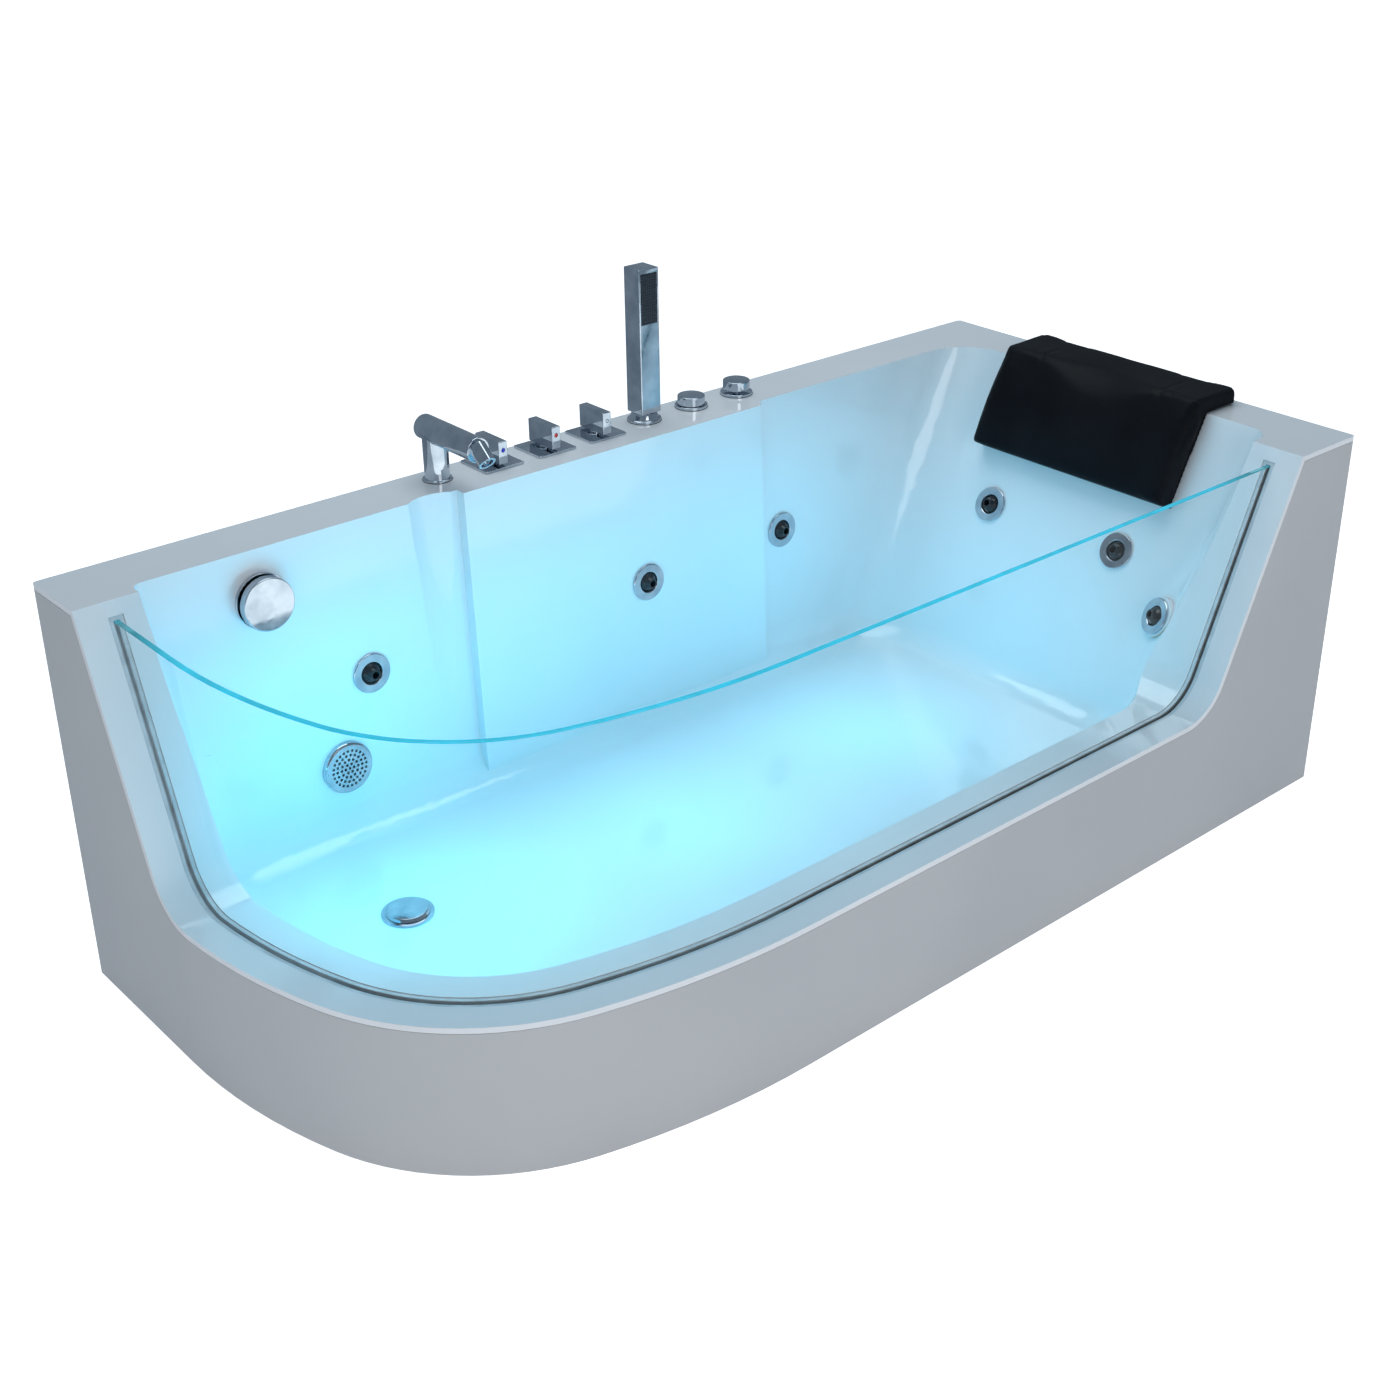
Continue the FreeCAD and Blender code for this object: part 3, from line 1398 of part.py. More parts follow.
def make_motor_housing():
    """Motor housing with its end walls and cooling fins."""
    body = y_rod(motor_rear, motor_front, motor_radius)
    room = y_rod(motor_rear + motor_end_wall, motor_front - motor_end_wall, motor_radius - motor_wall)
    bore = y_rod(motor_rear, motor_front, shaft_radius + shaft_room)
    half = fin_thickness / 2
    crown = pump_axis_height + motor_radius
    fin = box(pump_x - half, pump_x + half, motor_rear + fin_inset, motor_front - fin_inset,
              crown - motor_wall / 2, crown + fin_height)
    fins = []
    for degrees in range(-5 * fin_turn, 6 * fin_turn, fin_turn):
        turned = fin.copy()
        turned.rotate(V(pump_x, 0, pump_axis_height), Y_AXIS, degrees)
        fins.append(turned)
    return joined([body] + fins).cut(room).cut(bore).cut(group(bearing_seats()))


def make_stator():
    """Stator ring inside the motor housing."""
    middle = (motor_rear + motor_front) / 2
    return y_tube(middle - stator_length / 2, middle + stator_length / 2, motor_radius - motor_wall,
                  stator_bore)


def make_fan():
    """Cooling fan on the rear end of the shaft."""
    end = motor_rear - fan_gap
    start = end - fan_width
    half = fan_blade / 2
    blade = box(pump_x - half, pump_x + half, start, end, pump_axis_height + impeller_hub - half,
                pump_axis_height + fan_radius)
    body = joined([y_rod(start, end, impeller_hub)] + around_axis(blade, fan_blades))
    return body.cut(y_rod(start, end, shaft_radius))


def make_fan_cover():
    """Cover over the fan, with slots in its end."""
    start = motor_rear - fan_cover_length
    body = y_rod(start, motor_rear, motor_radius)
    room = y_rod(start + fan_cover_wall, motor_rear, motor_radius - fan_cover_wall)
    half = fan_cover_slot / 2
    slot = box(pump_x - half, pump_x + half, start, start + fan_cover_wall, pump_axis_height + impeller_hub,
               pump_axis_height + fan_radius)
    return body.cut(room).cut(group(around_axis(slot, fan_cover_slots)))


def make_pump_plate():
    """Plate across the long rails, with two saddles that carry the pump."""
    half = pump_plate_width / 2
    reach = long_rail_offset + rail_width / 2
    base = rail_top + bush_height
    top = base + pump_plate_thickness
    plate = box(pump_x - half, pump_x + half, -reach, reach, base, top)
    reach = saddle_width / 2
    rear = motor_rear + saddle_inset
    fore = pump_inlet_y - saddle_inset
    rear_saddle = box(pump_x - reach, pump_x + reach, rear, rear + saddle_length, top, pump_axis_height)
    front_saddle = box(pump_x - reach, pump_x + reach, fore - saddle_length, fore, top, pump_axis_height)
    rear_saddle = rear_saddle.cut(y_rod(motor_rear, motor_front, motor_radius))
    front_saddle = front_saddle.cut(y_rod(motor_front, pump_inlet_y, casing_radius))
    return joined([plate, rear_saddle, front_saddle])


def make_pump_bushes():
    """Rubber bushes between the plate and the rails."""
    return group([rod(V(pump_x + dx, dy, rail_top), Z_AXIS, bush_height, bush_radius)
                  for dx in (-bush_offset, bush_offset) for dy in (-long_rail_offset, long_rail_offset)])


# --- control box -----------------------------------------------------------------------------------
def make_control_box():
    """Open box screwed to the front right upright."""
    outer = box(control_x, control_x + control_depth, control_y, control_y + control_width,
                control_base_height, control_base_height + control_height)
    w = control_wall
    room = box(control_x + w, control_x + control_depth, control_y + w, control_y + control_width - w,
               control_base_height + w, control_base_height + control_height - w)
    hole = rod(V(gland_x, gland_y, control_top - w), Z_AXIS, w, gland_radius)
    return outer.cut(room).cut(hole)


def make_control_lid():
    """Lid of the control box."""
    over = control_lid_overhang
    start = control_x + control_depth
    return box(start, start + control_lid, control_y - over, control_y + control_width + over,
               control_base_height - over, control_top + over)


def make_control_gland():
    """Gland that the pneumatic tube enters the control box by."""
    neck = rod(V(gland_x, gland_y, control_top - control_wall), Z_AXIS, control_wall, gland_radius)
    head = hex_prism(gland_flats, gland_length, tube_radius, V(gland_x, gland_y, control_top))
    return joined([neck.cut(rod(V(gland_x, gland_y, 0), Z_AXIS, above, tube_radius)), head])


def make_pneumatic_tube():
    """Thin tube from the button to the control box."""
    bottom = under_deck - deck_nut_height - knob_body_length
    points = [V(button_x, tap_y, bottom), V(button_x, tap_y, tube_height), V(gland_x, tap_y, tube_height),
              V(gland_x, gland_y, tube_height), V(gland_x, gland_y, control_top - control_wall)]
    return pipe_run(points, tube_radius, tube_bend)


motor_front = pump_inlet_y - casing_length
motor_rear = motor_front - motor_length
pump_axis_height = suction_height
control_x = upright_places[4][0] - upright_side / 2
control_y = upright_places[4][1] + upright_side / 2
control_top = control_base_height + control_height
gland_x = control_x + control_depth / 2
gland_y = control_y + control_width / 2


def build():
    """All nodes by name."""
    glass = make_glass()
    spout_tube = make_spout_tube()
    nodes = {
        "tub_shell": make_shell(),
        "apron_panel": make_apron(),
        "glass_panel": glass,
        "glass_seal": make_seal(glass),
        "frame_rails": group(make_long_rails() + make_cross_rails()),
        "frame_uprights": group(make_uprights() + make_apron_brackets()),
        "levelling_feet": group(make_feet() + make_locknuts()),
        "spout_column": make_spout_column(),
        "spout_tube": spout_tube,
        "spout_aerator": make_aerator(spout_tube),
        "lever_plates": make_lever_plates(),
        "valve_bodies": make_valve_bodies(),
        "cold_lever": make_lever(cold_x, True),
        "hot_lever": make_lever(hot_x, True),
        "diverter_lever": make_lever(diverter_x, False),
        "deck_nuts": make_deck_nuts(),
        "mixer_pipes": make_mixer_pipes(),
        "shower_collar": make_shower_collar(),
        "shower_handle": make_shower_handle(),
        "spray_face": make_spray_face(),
        "air_regulator_knob": knob_cap(regulator_x, knob_gap),
        "air_regulator_body": control_body(regulator_x, knob_spindle_length),
        "air_button_cap": knob_cap(button_x, button_travel + knob_gap),
        "air_button_body": control_body(button_x, knob_spindle_length + knob_gap),
        "headrest": make_headrest(),
        "headrest_pins": make_headrest_pins(),
        "overflow_ring": make_overflow_ring(),
        "overflow_knob": make_overflow_knob(),
        "overflow_pipe": group([make_overflow_body(), make_overflow_pipe()]),
        "drain_flange": make_drain_flange(),
        "drain_plug": make_drain_plug(),
        "waste_body": make_waste_body(),
        "plug_cable": make_plug_cable(),
        "jet_flanges": group(jet_flanges),
        "jet_bodies": group(jet_bodies),
        "suction_grille": make_suction_grille(),
        "suction_pipe": group([make_suction_body(), make_suction_pipe()]),
        "lamp_housing": make_lamp_housing(),
        "lamp_lens": make_lamp_lens(),
        "water_pipes": make_water_pipes(),
        "air_pipes": make_air_pipes(),
        "pump_casing": make_pump_casing(),
        "pump_impeller": make_impeller(),
        "pump_shaft": make_shaft(),
        "pump_bearings": make_bearings(),
        "motor_housing": make_motor_housing(),
        "motor_stator": make_stator(),
        "cooling_fan": make_fan(),
        "fan_cover": make_fan_cover(),
        "pump_plate": make_pump_plate(),
        "pump_bushes": make_pump_bushes(),
        "control_box": group([make_control_box(), make_control_gland()]),
        "control_lid": make_control_lid(),
        "pneumatic_tube": make_pneumatic_tube()}
    for number, nozzle in enumerate(jet_nozzles, 1):
        nodes["jet_nozzle_%d" % number] = nozzle
    return nodes


os.makedirs("parts", exist_ok=True)
for name, shape in build().items():
    shape.exportStep("parts/" + name + ".step")
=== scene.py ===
import json
import math

import bmesh
import bpy
from mathutils import Matrix, Vector


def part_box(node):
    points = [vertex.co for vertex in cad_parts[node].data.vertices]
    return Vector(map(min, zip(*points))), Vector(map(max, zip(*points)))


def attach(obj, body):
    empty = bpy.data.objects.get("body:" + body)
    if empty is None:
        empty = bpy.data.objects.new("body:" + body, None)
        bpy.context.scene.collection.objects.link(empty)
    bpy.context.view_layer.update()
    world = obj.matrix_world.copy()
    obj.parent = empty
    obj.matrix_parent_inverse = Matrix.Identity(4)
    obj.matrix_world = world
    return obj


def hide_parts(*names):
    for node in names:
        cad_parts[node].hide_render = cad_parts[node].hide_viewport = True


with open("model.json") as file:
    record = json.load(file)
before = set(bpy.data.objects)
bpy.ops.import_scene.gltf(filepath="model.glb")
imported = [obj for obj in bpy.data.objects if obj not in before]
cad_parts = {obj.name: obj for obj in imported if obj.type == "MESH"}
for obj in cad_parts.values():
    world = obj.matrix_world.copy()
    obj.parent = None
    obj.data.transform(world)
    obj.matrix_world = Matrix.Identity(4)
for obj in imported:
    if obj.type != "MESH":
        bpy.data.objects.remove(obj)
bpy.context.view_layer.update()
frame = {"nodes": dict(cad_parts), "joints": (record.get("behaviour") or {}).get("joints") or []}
nodes = frame["nodes"]


# --- camera ------------------------------------------------------------------
# Stands in front of the tub's low left corner at a standing person's eye height, and looks down
# into the basin over the glass.
camera_at = Vector((-1.6642, -1.8344, 1.5807))
camera_forward = Vector((0.6017, 0.6648, -0.4427))
camera_right = Vector((0.7422, -0.6702, 0.0023))
photo_side = 1390.0
focal_pixels = 1943.0
centre_pixel = (752.0, 654.1)

back_axis = -camera_forward.normalized()
side_axis = camera_right - back_axis * camera_right.dot(back_axis)
side_axis.normalize()
up_axis = back_axis.cross(side_axis)
lens = bpy.data.cameras.new("standing_view")
lens.sensor_width = 36.0
lens.lens = lens.sensor_width * focal_pixels / photo_side
lens.shift_x = (photo_side / 2 - centre_pixel[0]) / photo_side
lens.shift_y = (centre_pixel[1] - photo_side / 2) / photo_side
lens.clip_end = 60.0
camera = bpy.data.objects.new("standing_view", lens)
view_axes = Matrix((side_axis, up_axis, back_axis)).transposed()
camera.matrix_world = Matrix.Translation(camera_at) @ view_axes.to_4x4()
bpy.context.scene.collection.objects.link(camera)
bpy.context.scene.camera = camera


# --- studio ------------------------------------------------------------------
# A pale floor that glows like a light table, with a pale screen round it, a broad soft light
# overhead, a smaller one beside the camera, and the blue-green light that the tub's own lamp fills
# the basin with.
floor_reach = 30.0
screen_reach = 28.0
screen_height = 24.0
floor_colour = (0.80, 0.80, 0.82, 1.0)
floor_glow = 0.86
sky_colour = (0.66, 0.83, 1.0, 1.0)
sky_strength = 0.30
tub_middle = Vector((0, 0, 0.3))
lamp_colour = (0.0, 0.66, 1.0)
lamp_softness = 0.12
lamp_glows = (((-0.55, 0.02, 0.34), 3.0), ((-0.14, -0.02, 0.36), 1.6), ((0.26, 0.0, 0.36), 1.7))

pale = bpy.data.materials.new("pale_floor")
pale.use_nodes = True
pale_shader = pale.node_tree.nodes["Principled BSDF"].inputs
pale_shader["Base Color"].default_value = floor_colour
pale_shader["Roughness"].default_value = 0.9
pale_shader["Specular IOR Level"].default_value = 0.0
pale_shader["Emission Color"].default_value = (1.0, 1.0, 1.0, 1.0)
pale_shader["Emission Strength"].default_value = floor_glow


def room_piece(name, shape):
    """Pale piece of the room that the tub stands in."""
    mesh = bpy.data.meshes.new(name)
    shape.to_mesh(mesh)
    shape.free()
    mesh.materials.append(pale)
    piece = bpy.data.objects.new(name, mesh)
    bpy.context.scene.collection.objects.link(piece)
    return piece


floor_shape = bmesh.new()
bmesh.ops.create_grid(floor_shape, x_segments=4, y_segments=4, size=floor_reach)
floor = room_piece("floor", floor_shape)
floor.visible_glossy = False

screen_shape = bmesh.new()
bmesh.ops.create_cone(screen_shape, segments=96, radius1=screen_reach, radius2=screen_reach,
                      depth=screen_height,
                      matrix=Matrix.Translation((0, 0, screen_height / 2)))
bmesh.ops.reverse_faces(screen_shape, faces=screen_shape.faces)
screen = room_piece("backdrop", screen_shape)
screen.visible_diffuse = False
screen.visible_glossy = False
screen.visible_transmission = False
screen.visible_shadow = False


def soft_light(name, place, size, power, colour):
    """Square area light that points at the tub."""
    data = bpy.data.lights.new(name, "AREA")
    data.shape = "SQUARE"
    data.size = size
    data.energy = power
    data.color = colour
    light = bpy.data.objects.new(name, data)
    light.location = place
    light.rotation_euler = (tub_middle - Vector(place)).to_track_quat("-Z", "Y").to_euler()
    light.visible_camera = False
    light.visible_transmission = False
    bpy.context.scene.collection.objects.link(light)


soft_light("over_light", (0.3, 0.7, 3.2), size=2.4, power=46, colour=(0.86, 0.965, 1.0))
soft_light("camera_light", (-0.9, -3.4, 1.5), size=1.6, power=19, colour=(1.0, 0.98, 0.96))
for number, (place, power) in enumerate(lamp_glows, 1):
    glow = bpy.data.lights.new("lamp_glow_" + str(number), "POINT")
    glow.energy = power
    glow.color = lamp_colour
    glow.shadow_soft_size = lamp_softness
    glow_object = bpy.data.objects.new(glow.name, glow)
    glow_object.location = place
    glow_object.visible_camera = False
    glow_object.visible_glossy = False
    glow_object.visible_transmission = False
    bpy.context.scene.collection.objects.link(glow_object)

world = bpy.data.worlds.new("studio")
world.use_nodes = True
world.node_tree.nodes["Background"].inputs["Color"].default_value = sky_colour
world.node_tree.nodes["Background"].inputs["Strength"].default_value = sky_strength
bpy.context.scene.world = world
bpy.context.scene.view_settings.view_transform = "Standard"


# --- acrylic shell -----------------------------------------------------------
# One vacuum-formed sheet of gloss white acrylic: deck, slanted rims, low rim, basin and backrest.
# The sheet rounds every outer edge as it is drawn over the mould, and a hand-laid glass-fibre
# back stiffens it.
shell_edge = 0.005
fibre_tilt = -0.02              # a face that looks further down than this is the sheet's back
acrylic_white = (0.79, 0.805, 0.83, 1.0)
acrylic_shade = (0.74, 0.76, 0.79, 1.0)
fibre_light = (0.62, 0.58, 0.47, 1.0)
fibre_dark = (0.45, 0.41, 0.32, 1.0)


class Wire:
    """An output socket that takes arithmetic; each operator adds one Math node."""

    def __init__(self, finish, socket):
        self.finish = finish
        self.socket = socket

    def maths(self, operation, other):
        return self.finish.node("ShaderNodeMath", {"operation": operation}, {0: self, 1: other})

    def __add__(self, other):
        return self.maths("ADD", other)

    def __mul__(self, other):
        return self.maths("MULTIPLY", other)

    __radd__ = __add__
    __rmul__ = __mul__


class Finish:
    """One surface finish: a material with the node tree behind it."""

    def __init__(self, name, colour, roughness, metallic=0.0, **constants):
        self.material = bpy.data.materials.new(name)
        self.material.use_nodes = True
        self.tree = self.material.node_tree
        self.shader = self.tree.nodes["Principled BSDF"]
        self.set("Base Color", colour)
        self.set("Roughness", roughness)
        self.set("Metallic", metallic)
        for socket, value in constants.items():
            self.set(socket.replace("_", " "), value)
        self.place = self.node("ShaderNodeTexCoord", output="Object")

    def set(self, socket, value):
        """Gives a socket of the surface shader a constant or a wire."""
        self.feed(self.shader.inputs[socket], value)

    def feed(self, socket, value):
        if isinstance(value, Wire):
            self.tree.links.new(value.socket, socket)
        else:
            socket.default_value = value

    def node(self, kind, settings=None, sockets=None, output=0):
        """Adds a node: its settings first, then the values or wires of its sockets."""
        made = self.tree.nodes.new(kind)
        for name, value in (settings or {}).items():
            setattr(made, name, value)
        for key, value in (sockets or {}).items():
            self.feed(made.inputs[key], value)
        return Wire(self, made.outputs[output])

    def noise(self, scale, detail=3.0, roughness=0.5, place=None):
        """Cloudy pattern, so many waves to the metre."""
        return self.node("ShaderNodeTexNoise", None,
                         {"Vector": place or self.place, "Scale": scale, "Detail": detail,
                          "Roughness": roughness})

    def stretched(self, x, y, z):
        """The piece's own coordinates, stretched along its axes."""
        return self.node("ShaderNodeMapping", None, {"Vector": self.place, "Scale": (x, y, z)})

    def spread(self, value, low, high, to_low=0.0, to_high=1.0):
        """Spreads a range of values over another."""
        return self.node("ShaderNodeMapRange", {"clamp": True},
                         {"Value": value, "From Min": low, "From Max": high,
                          "To Min": to_low, "To Max": to_high})

    def mix(self, share, first, second):
        """Blend of two colours."""
        made = self.tree.nodes.new("ShaderNodeMix")
        made.data_type = "RGBA"
        for key, value in ((0, share), (6, first), (7, second)):
            self.feed(made.inputs[key], value)
        return Wire(self, made.outputs[2])

    def along(self, axis):
        """One of the piece's own coordinates, in metres."""
        return self.node("ShaderNodeSeparateXYZ", None, {0: self.place}, output=axis)

    def tint(self, pattern, light, dark, low=0.35, high=0.65):
        """Takes the base colour from light to dark over a range of the pattern."""
        self.set("Base Color", self.mix(self.spread(pattern, low, high), light, dark))

    def scuff(self, pattern, smooth, rough, low=0.3, high=0.7):
        """Takes the roughness from smooth to rough over a range of the pattern."""
        self.set("Roughness", self.spread(pattern, low, high, smooth, rough))

    def bump(self, pattern, depth, strength=1.0):
        """Raises the surface by a pattern, with its depth in metres."""
        self.set("Normal", self.node("ShaderNodeBump", None,
                                     {"Height": pattern, "Distance": depth,
                                      "Strength": strength}))


def bench_copy(node):
    """Merged copy of a CAD node's mesh, with its flat stretches made whole."""
    shape = bmesh.new()
    shape.from_mesh(nodes[node].data)
    bmesh.ops.remove_doubles(shape, verts=shape.verts, dist=0.00001)
    bmesh.ops.dissolve_limit(shape, angle_limit=math.radians(0.4), verts=shape.verts,
                             edges=shape.edges)
    return shape


def as_piece(name, mesh, body, finish):
    """Puts a finished mesh in the scene and on its body."""
    mesh.materials.clear()
    mesh.materials.append(finish.material)
    piece = bpy.data.objects.new(name, mesh)
    bpy.context.scene.collection.objects.link(piece)
    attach(piece, body)
    return piece


def eased(node, body, width, finish, steps=2, crease=28.0):
    """A CAD node again, with its sharp edges rounded as the real piece's are."""
    shape = bench_copy(node)
    mesh = bpy.data.meshes.new(node + "_eased")
    shape.to_mesh(mesh)
    shape.free()
    rough = bpy.data.objects.new(node + "_rough", mesh)
    bpy.context.scene.collection.objects.link(rough)
    mesh.shade_smooth()
    edge = rough.modifiers.new("edge", "BEVEL")
    edge.width = width
    edge.segments = steps
    edge.limit_method = "ANGLE"
    edge.angle_limit = math.radians(crease)
    edge.miter_outer = "MITER_ARC"
    level = rough.modifiers.new("level", "WEIGHTED_NORMAL")
    level.keep_sharp = True
    mesh.set_sharp_from_angle(angle=math.radians(60))
    done = bpy.data.meshes.new_from_object(
        rough.evaluated_get(bpy.context.evaluated_depsgraph_get()))
    bpy.data.objects.remove(rough)
    done.name = node + "_eased"
    piece = as_piece(node + "_eased", done, body, finish)
    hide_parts(node)
    return piece


def second_finish(piece, finish, where):
    """Gives the faces of a piece that pass a test another finish."""
    piece.data.materials.append(finish.material)
    for face in piece.data.polygons:
        face.material_index = 1 if where(face) else 0


acrylic = Finish("gloss_acrylic", acrylic_white, 0.12, Coat_Weight=0.5, Coat_Roughness=0.04,
                 IOR=1.49)
acrylic.tint(acrylic.noise(2.6, detail=2.0), acrylic_white, acrylic_shade)
acrylic.scuff(acrylic.noise(9.0, detail=4.0), smooth=0.08, rough=0.16)
acrylic.bump(acrylic.noise(14.0, detail=2.0), depth=0.0004, strength=0.3)

fibre = Finish("glass_fibre_back", fibre_light, 0.6)
strand = fibre.noise(60.0, detail=6.0, roughness=0.7, place=fibre.stretched(1.0, 1.0, 0.35))
fibre.tint(strand, fibre_light, fibre_dark)
fibre.scuff(strand, smooth=0.4, rough=0.75)
fibre.bump(strand, depth=0.002)

shell = eased("tub_shell", "tub", shell_edge, acrylic, steps=3)
second_finish(shell, fibre, lambda face: face.normal.z < fibre_tilt)


# --- apron -------------------------------------------------------------------
# One bent acrylic panel that hides the frame along the front and the left end. It is the same
# sheet as the shell, coloured greyer as painted shade on its upright faces, and hangs on
# brackets behind its top edge.
apron_edge = 0.004
# painted shade: the shell's white acrylic darkened to stand for the shade on the upright apron
apron_painted_shade = (0.50, 0.505, 0.515, 1.0)
apron_painted_shade_deep = (0.455, 0.46, 0.475, 1.0)

apron_sheet = Finish("gloss_apron_painted_shade", apron_painted_shade, 0.16, Coat_Weight=0.4, Coat_Roughness=0.05,
                     IOR=1.49)
apron_sheet.tint(apron_sheet.noise(1.8, detail=2.0), apron_painted_shade, apron_painted_shade_deep)
apron_sheet.scuff(apron_sheet.noise(8.0, detail=4.0), smooth=0.1, rough=0.2)
apron_sheet.bump(apron_sheet.noise(11.0, detail=2.0), depth=0.0004, strength=0.3)
eased("apron_panel", "tub", apron_edge, apron_sheet, steps=3)


# --- glass pane --------------------------------------------------------------
# Bent safety glass with ground and polished edges. The pane is clear. Its ground edge is coloured
# blue-green and given a painted glow that stands for the light it gathers, with painted shade
# towards its ends.
pane_ease = 0.0012
rim_tilt = 0.3                  # a face that looks further up than this is the ground edge
end_reach = 0.16                # how far from its ends the painted shade on the edge starts
end_full_shade = 0.06
end_share = 0.75                # how much of the edge's darkening is the painted shade at the ends; streaks make the rest
pane_colour = (0.93, 0.985, 0.99, 1.0)
pane_edge_colour = (0.03, 0.42, 0.50, 1.0)
pane_edge_painted_shade = (0.01, 0.15, 0.17, 1.0)
painted_edge_glow = (0.01, 0.46, 0.72, 1.0)
painted_end_glow = (0.01, 0.12, 0.14, 1.0)

pane_glass = Finish("clear_glass", pane_colour, 0.015, Transmission_Weight=1.0, IOR=1.12)
pane_glass.scuff(pane_glass.noise(5.0, detail=4.0), smooth=0.0, rough=0.03, low=0.45, high=0.75)

# painted glow: the ground edge emits blue-green light though the glass is no lamp
edge_glass_painted_glow = Finish("glass_edge_painted_glow", pane_edge_colour, 0.08, Coat_Weight=0.8, Coat_Roughness=0.03,
                    Emission_Color=painted_edge_glow, Emission_Strength=0.7)
streak = edge_glass_painted_glow.noise(26.0, place=edge_glass_painted_glow.stretched(1.0, 1.0, 6.0))
pane_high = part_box("glass_panel")[1]
# painted shade: the edge's colour and glow darken over the last stretch before the pane's high
# ends
painted_end_shade = (edge_glass_painted_glow.spread(edge_glass_painted_glow.along(0), pane_high.x - end_reach, pane_high.x - end_full_shade)
        + edge_glass_painted_glow.spread(edge_glass_painted_glow.along(1), pane_high.y - end_reach, pane_high.y - end_full_shade))
streaks_and_end_shade = edge_glass_painted_glow.spread(streak, 0.35, 0.65) * (1 - end_share) + painted_end_shade * end_share
edge_glass_painted_glow.set("Base Color", edge_glass_painted_glow.mix(streaks_and_end_shade, pane_edge_colour, pane_edge_painted_shade))
edge_glass_painted_glow.set("Emission Color", edge_glass_painted_glow.mix(streaks_and_end_shade, painted_edge_glow, painted_end_glow))

pane = eased("glass_panel", "tub", pane_ease, pane_glass)
second_finish(pane, edge_glass_painted_glow, lambda face: face.normal.z > rim_tilt)
pane.visible_shadow = False


# --- glass seal --------------------------------------------------------------
# Extruded rubber channel in the shell's groove. The pane's foot stands in it and its outer lip
# shows as a narrow grey band.
seal_ease = 0.001
seal_light = (0.62, 0.67, 0.71, 1.0)
seal_dark = (0.47, 0.515, 0.55, 1.0)

seal_rubber = Finish("seal_rubber", seal_light, 0.6)
bloom = seal_rubber.noise(40.0, detail=4.0)
seal_rubber.tint(bloom, seal_light, seal_dark, low=0.3, high=0.7)
seal_rubber.scuff(bloom, smooth=0.45, rough=0.7)
seal_rubber.bump(seal_rubber.noise(400.0, detail=2.0), depth=0.0002)
eased("glass_seal", "tub", seal_ease, seal_rubber)


# --- chrome fittings ---------------------------------------------------------
# Brass castings turned or milled, polished and plated with chrome. Their edges are broken by the
# polishing wheel, and those on the deck stand over thin gaskets.
fine_edge = 0.0006
cast_edge = 0.0008
flange_edge = 0.0010
tube_edge = 0.0012
chrome_colour = (0.62, 0.66, 0.71, 1.0)
chrome_shade = (0.44, 0.49, 0.55, 1.0)

chrome = Finish("polished_chrome", chrome_colour, 0.04, metallic=1.0)
chrome.tint(chrome.noise(30.0), chrome_colour, chrome_shade)
chrome.scuff(chrome.noise(90.0, detail=4.0), smooth=0.02, rough=0.09, high=0.75)
chrome.bump(chrome.noise(55.0, detail=2.0), depth=0.0001, strength=0.15)

for node, body, width in (("spout_column", "tub", cast_edge),
                          ("spout_tube", "tub", tube_edge),
                          ("spout_aerator", "tub", cast_edge),
                          ("lever_plates", "tub", fine_edge),
                          ("cold_lever", "cold_lever", fine_edge),
                          ("hot_lever", "hot_lever", fine_edge),
                          ("diverter_lever", "diverter_lever", fine_edge),
                          ("shower_collar", "tub", cast_edge),
                          ("shower_handle", "hand_shower", fine_edge),
                          ("air_regulator_body", "tub", cast_edge),
                          ("air_regulator_knob", "air_regulator", cast_edge),
                          ("air_button_body", "tub", cast_edge),
                          ("air_button_cap", "air_button", cast_edge),
                          ("overflow_ring", "tub", cast_edge),
                          ("overflow_knob", "overflow_knob", cast_edge),
                          ("jet_flanges", "tub", flange_edge),
                          ("suction_grille", "tub", fine_edge),
                          ("drain_flange", "tub", cast_edge),
                          ("drain_plug", "drain_plug", cast_edge),
                          ("lamp_housing", "tub", cast_edge)):
    eased(node, body, width, chrome, crease=35.0)


# --- lever marks -------------------------------------------------------------
# Enamel dots set in the front edge of each blade: blue for cold, red for hot, and a dark ring on
# the diverter.
dot_radius = 0.0033
dot_height = 0.0009
dot_crown = 0.0003
dot_flat = 0.86                 # share of its radius over which a dot is flat
ring_hole = 0.0016
mark_drop = 0.013
enamel_depth = 0.7
cold_blue = (0.01, 0.03, 0.62, 1.0)
hot_red = (0.72, 0.02, 0.01, 1.0)
ring_dark = (0.02, 0.025, 0.05, 1.0)


def enamel(name, colour):
    """Glassy enamel with a faint mottle."""
    finish = Finish(name, colour, 0.12, Coat_Weight=0.6, Coat_Roughness=0.03)
    deep = tuple(enamel_depth * c for c in colour[:3]) + (1.0,)
    mottle = finish.noise(900.0, detail=2.0)
    finish.tint(mottle, colour, deep)
    finish.scuff(mottle, smooth=0.08, rough=0.2)
    return finish


